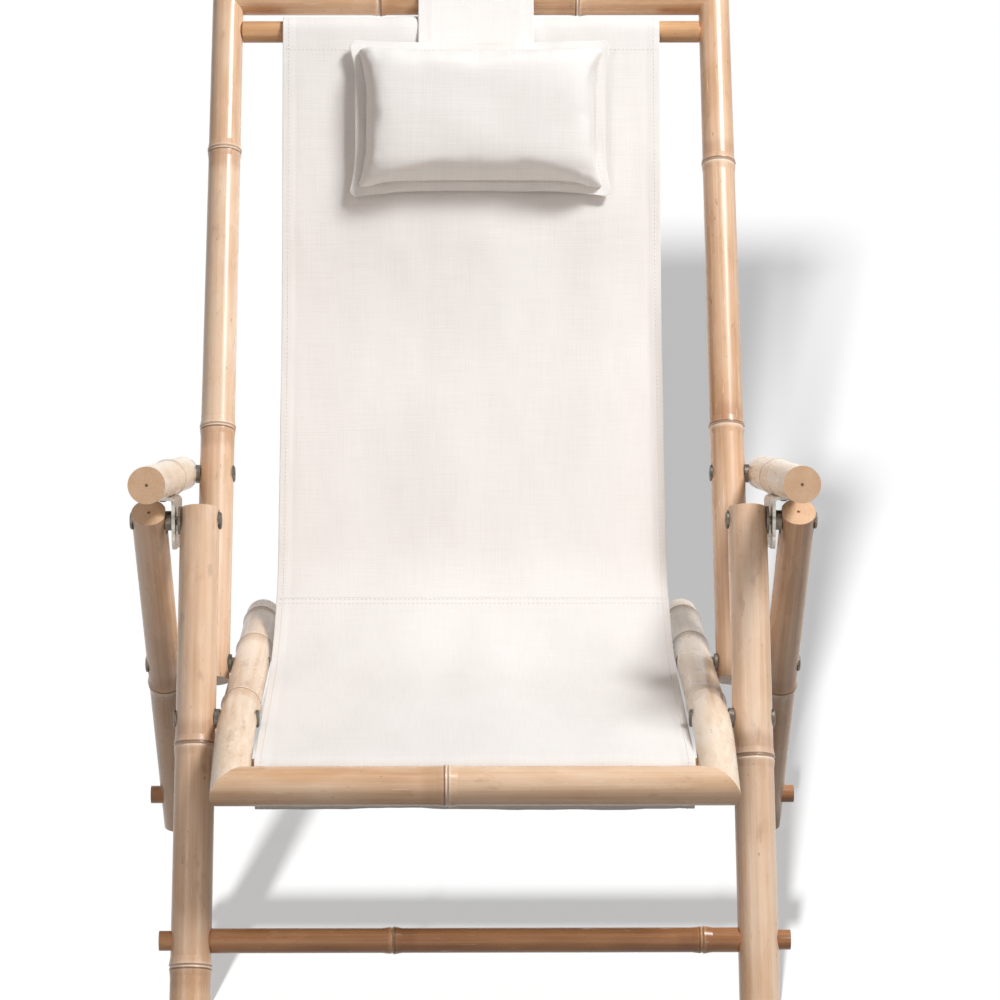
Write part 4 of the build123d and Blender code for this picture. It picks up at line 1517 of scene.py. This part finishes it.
@dataclass(frozen=True)
class Studio:
    """Floor, light and the photograph's camera.

    Attributes:
        paper: Finish of the floor.
        surround: Brightness of the white surround as a light.
        aim: Point that the soft boxes face, in metres.
        boxes: The soft boxes, which light the chair and not the floor.
        sun_way: Way that the floor's own sun shines, which draws the shadow.
        sun_strength: Strength of that sun.
        sun_spread: Angular size of that sun, in degrees.
        photo_size: Side of the photograph, in pixels.
        focal_pixels: Focal length, in pixels of the photograph.
        principal_x: Column that the camera points at.
        place: Place of the camera.
        pitch: How far it looks down, in degrees.
        yaw: How far it looks to the sitter's left, in degrees.
        sensor: Width of its sensor.
    """

    paper: StudioFloor = StudioFloor()
    surround: float = 0.12
    aim: Triple = (0.0, 0.05, 0.45)
    boxes: tuple[SoftBox, ...] = (
        SoftBox("key_box", (1.44, -0.79, 2.94), 81.0, (0.8, 0.8)),
        SoftBox("left_box", (-1.6, -2.1, 1.5), 14.0, (0.45, 2.2), "#FFF6F0"),
        SoftBox("right_strip", (1.9, -2.2, 1.5), 8.0, (0.25, 2.2), "#FFF6F0"),
        SoftBox("low_board", (-0.2, -2.3, 0.2), 4.0, (1.8, 0.5), "#FFEBDD"),
        SoftBox("rear_box", (0.6, 4.2, 0.7), 70.0, (2.0, 1.4), mirrored=False),
    )
    sun_way: Triple = (0.147, 0.96, -0.24)
    sun_strength: float = 15.5
    sun_spread: float = 3.0
    photo_size: float = 1000.0
    focal_pixels: float = 3248.8
    principal_x: float = 473.0
    place: Triple = (-16.1, -2655.1, 1122.8)
    pitch: float = 14.094
    yaw: float = 0.308
    sensor: float = 36.0

    def build(self) -> None:
        """Build the whole studio."""
        floor = self._floor()
        self._world()
        for box in self.boxes:
            self._reach(box.hang(Vector(self.aim)), floor, "EXCLUDE")
        sun = new_light("floor_sun", "SUN", self.sun_strength, Vector(), Vector(self.sun_way))
        sun.data.angle = math.radians(self.sun_spread)
        self._reach(sun, floor, "INCLUDE")
        self._camera()
        bpy.context.scene.view_settings.view_transform = "Standard"

    def _floor(self) -> Object:
        """Lay a wide sheet of paper, a hair under the feet.

        Returns:
            The floor.
        """
        mesh = bmesh.new()
        bmesh.ops.create_grid(mesh, x_segments=2, y_segments=2, size=30.0)
        floor = new_piece("floor", mesh)
        floor.location.z = -0.5 * MM
        floor.data.materials.append(self.paper.dress())
        return floor

    def _world(self) -> None:
        """Light everything evenly from a surround that looks white."""
        world = bpy.data.worlds.new("studio")
        world.use_nodes = True
        tree = world.node_tree
        inputs = {"Value": seen_directly(tree), "To Min": self.surround, "To Max": 1.0}
        strength = add_node(tree, "MapRange", inputs)
        values = {"Color": linear_colour("#FFFFFF"), "Strength": strength}
        fill_inputs(tree, tree.nodes["Background"], values)
        bpy.context.scene.world = world

    def _reach(self, light: Object, floor: Object, state: str) -> None:
        """Keep a light off the floor, or on the floor alone.

        Args:
            light: The light.
            floor: The floor.
            state: "EXCLUDE" to keep it off the floor, "INCLUDE" for the floor alone.
        """
        reach = bpy.data.collections.new(light.name + "_reach")
        reach.objects.link(floor)
        light.light_linking.receiver_collection = reach
        reach.collection_objects[0].light_linking.link_state = state

    def _camera(self) -> None:
        """Set the camera at the photograph's angle."""
        data = bpy.data.cameras.new("camera")
        data.sensor_fit = "HORIZONTAL"
        data.sensor_width = self.sensor
        data.lens = self.sensor * self.focal_pixels / self.photo_size
        data.shift_x = 0.5 - self.principal_x / self.photo_size
        data.clip_end = 100.0
        camera = bpy.data.objects.new("camera", data)
        camera.location = in_frame(*self.place)
        camera.rotation_euler = (math.radians(90.0 - self.pitch), 0.0, -math.radians(self.yaw))
        bpy.context.scene.collection.objects.link(camera)
        bpy.context.scene.camera = camera


def main() -> None:
    """Build the dressed chair in its studio."""
    logging.basicConfig(level=logging.INFO, format="%(name)s: %(message)s")
    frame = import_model()
    nodes = frame["nodes"]
    sling = Sling(ClothWork())
    pieces = [*sling.build(), *HeadPillow(sling).build()]
    for piece in pieces:
        LOGGER.info("%s: %d faces", piece.name, len(piece.data.polygons))
    soft = {"sling_back_panel", "sling_seat_panel", "pillow", "pillow_strap"}
    bamboo = CaneFrame().dress(nodes)
    steel = [name for name in nodes if name not in bamboo | soft]
    Hardware().dress(nodes, steel)
    LOGGER.info("dressed %d canes and %d steel nodes", len(bamboo), len(steel))
    Studio().build()


if __name__ == "__main__":
    main()
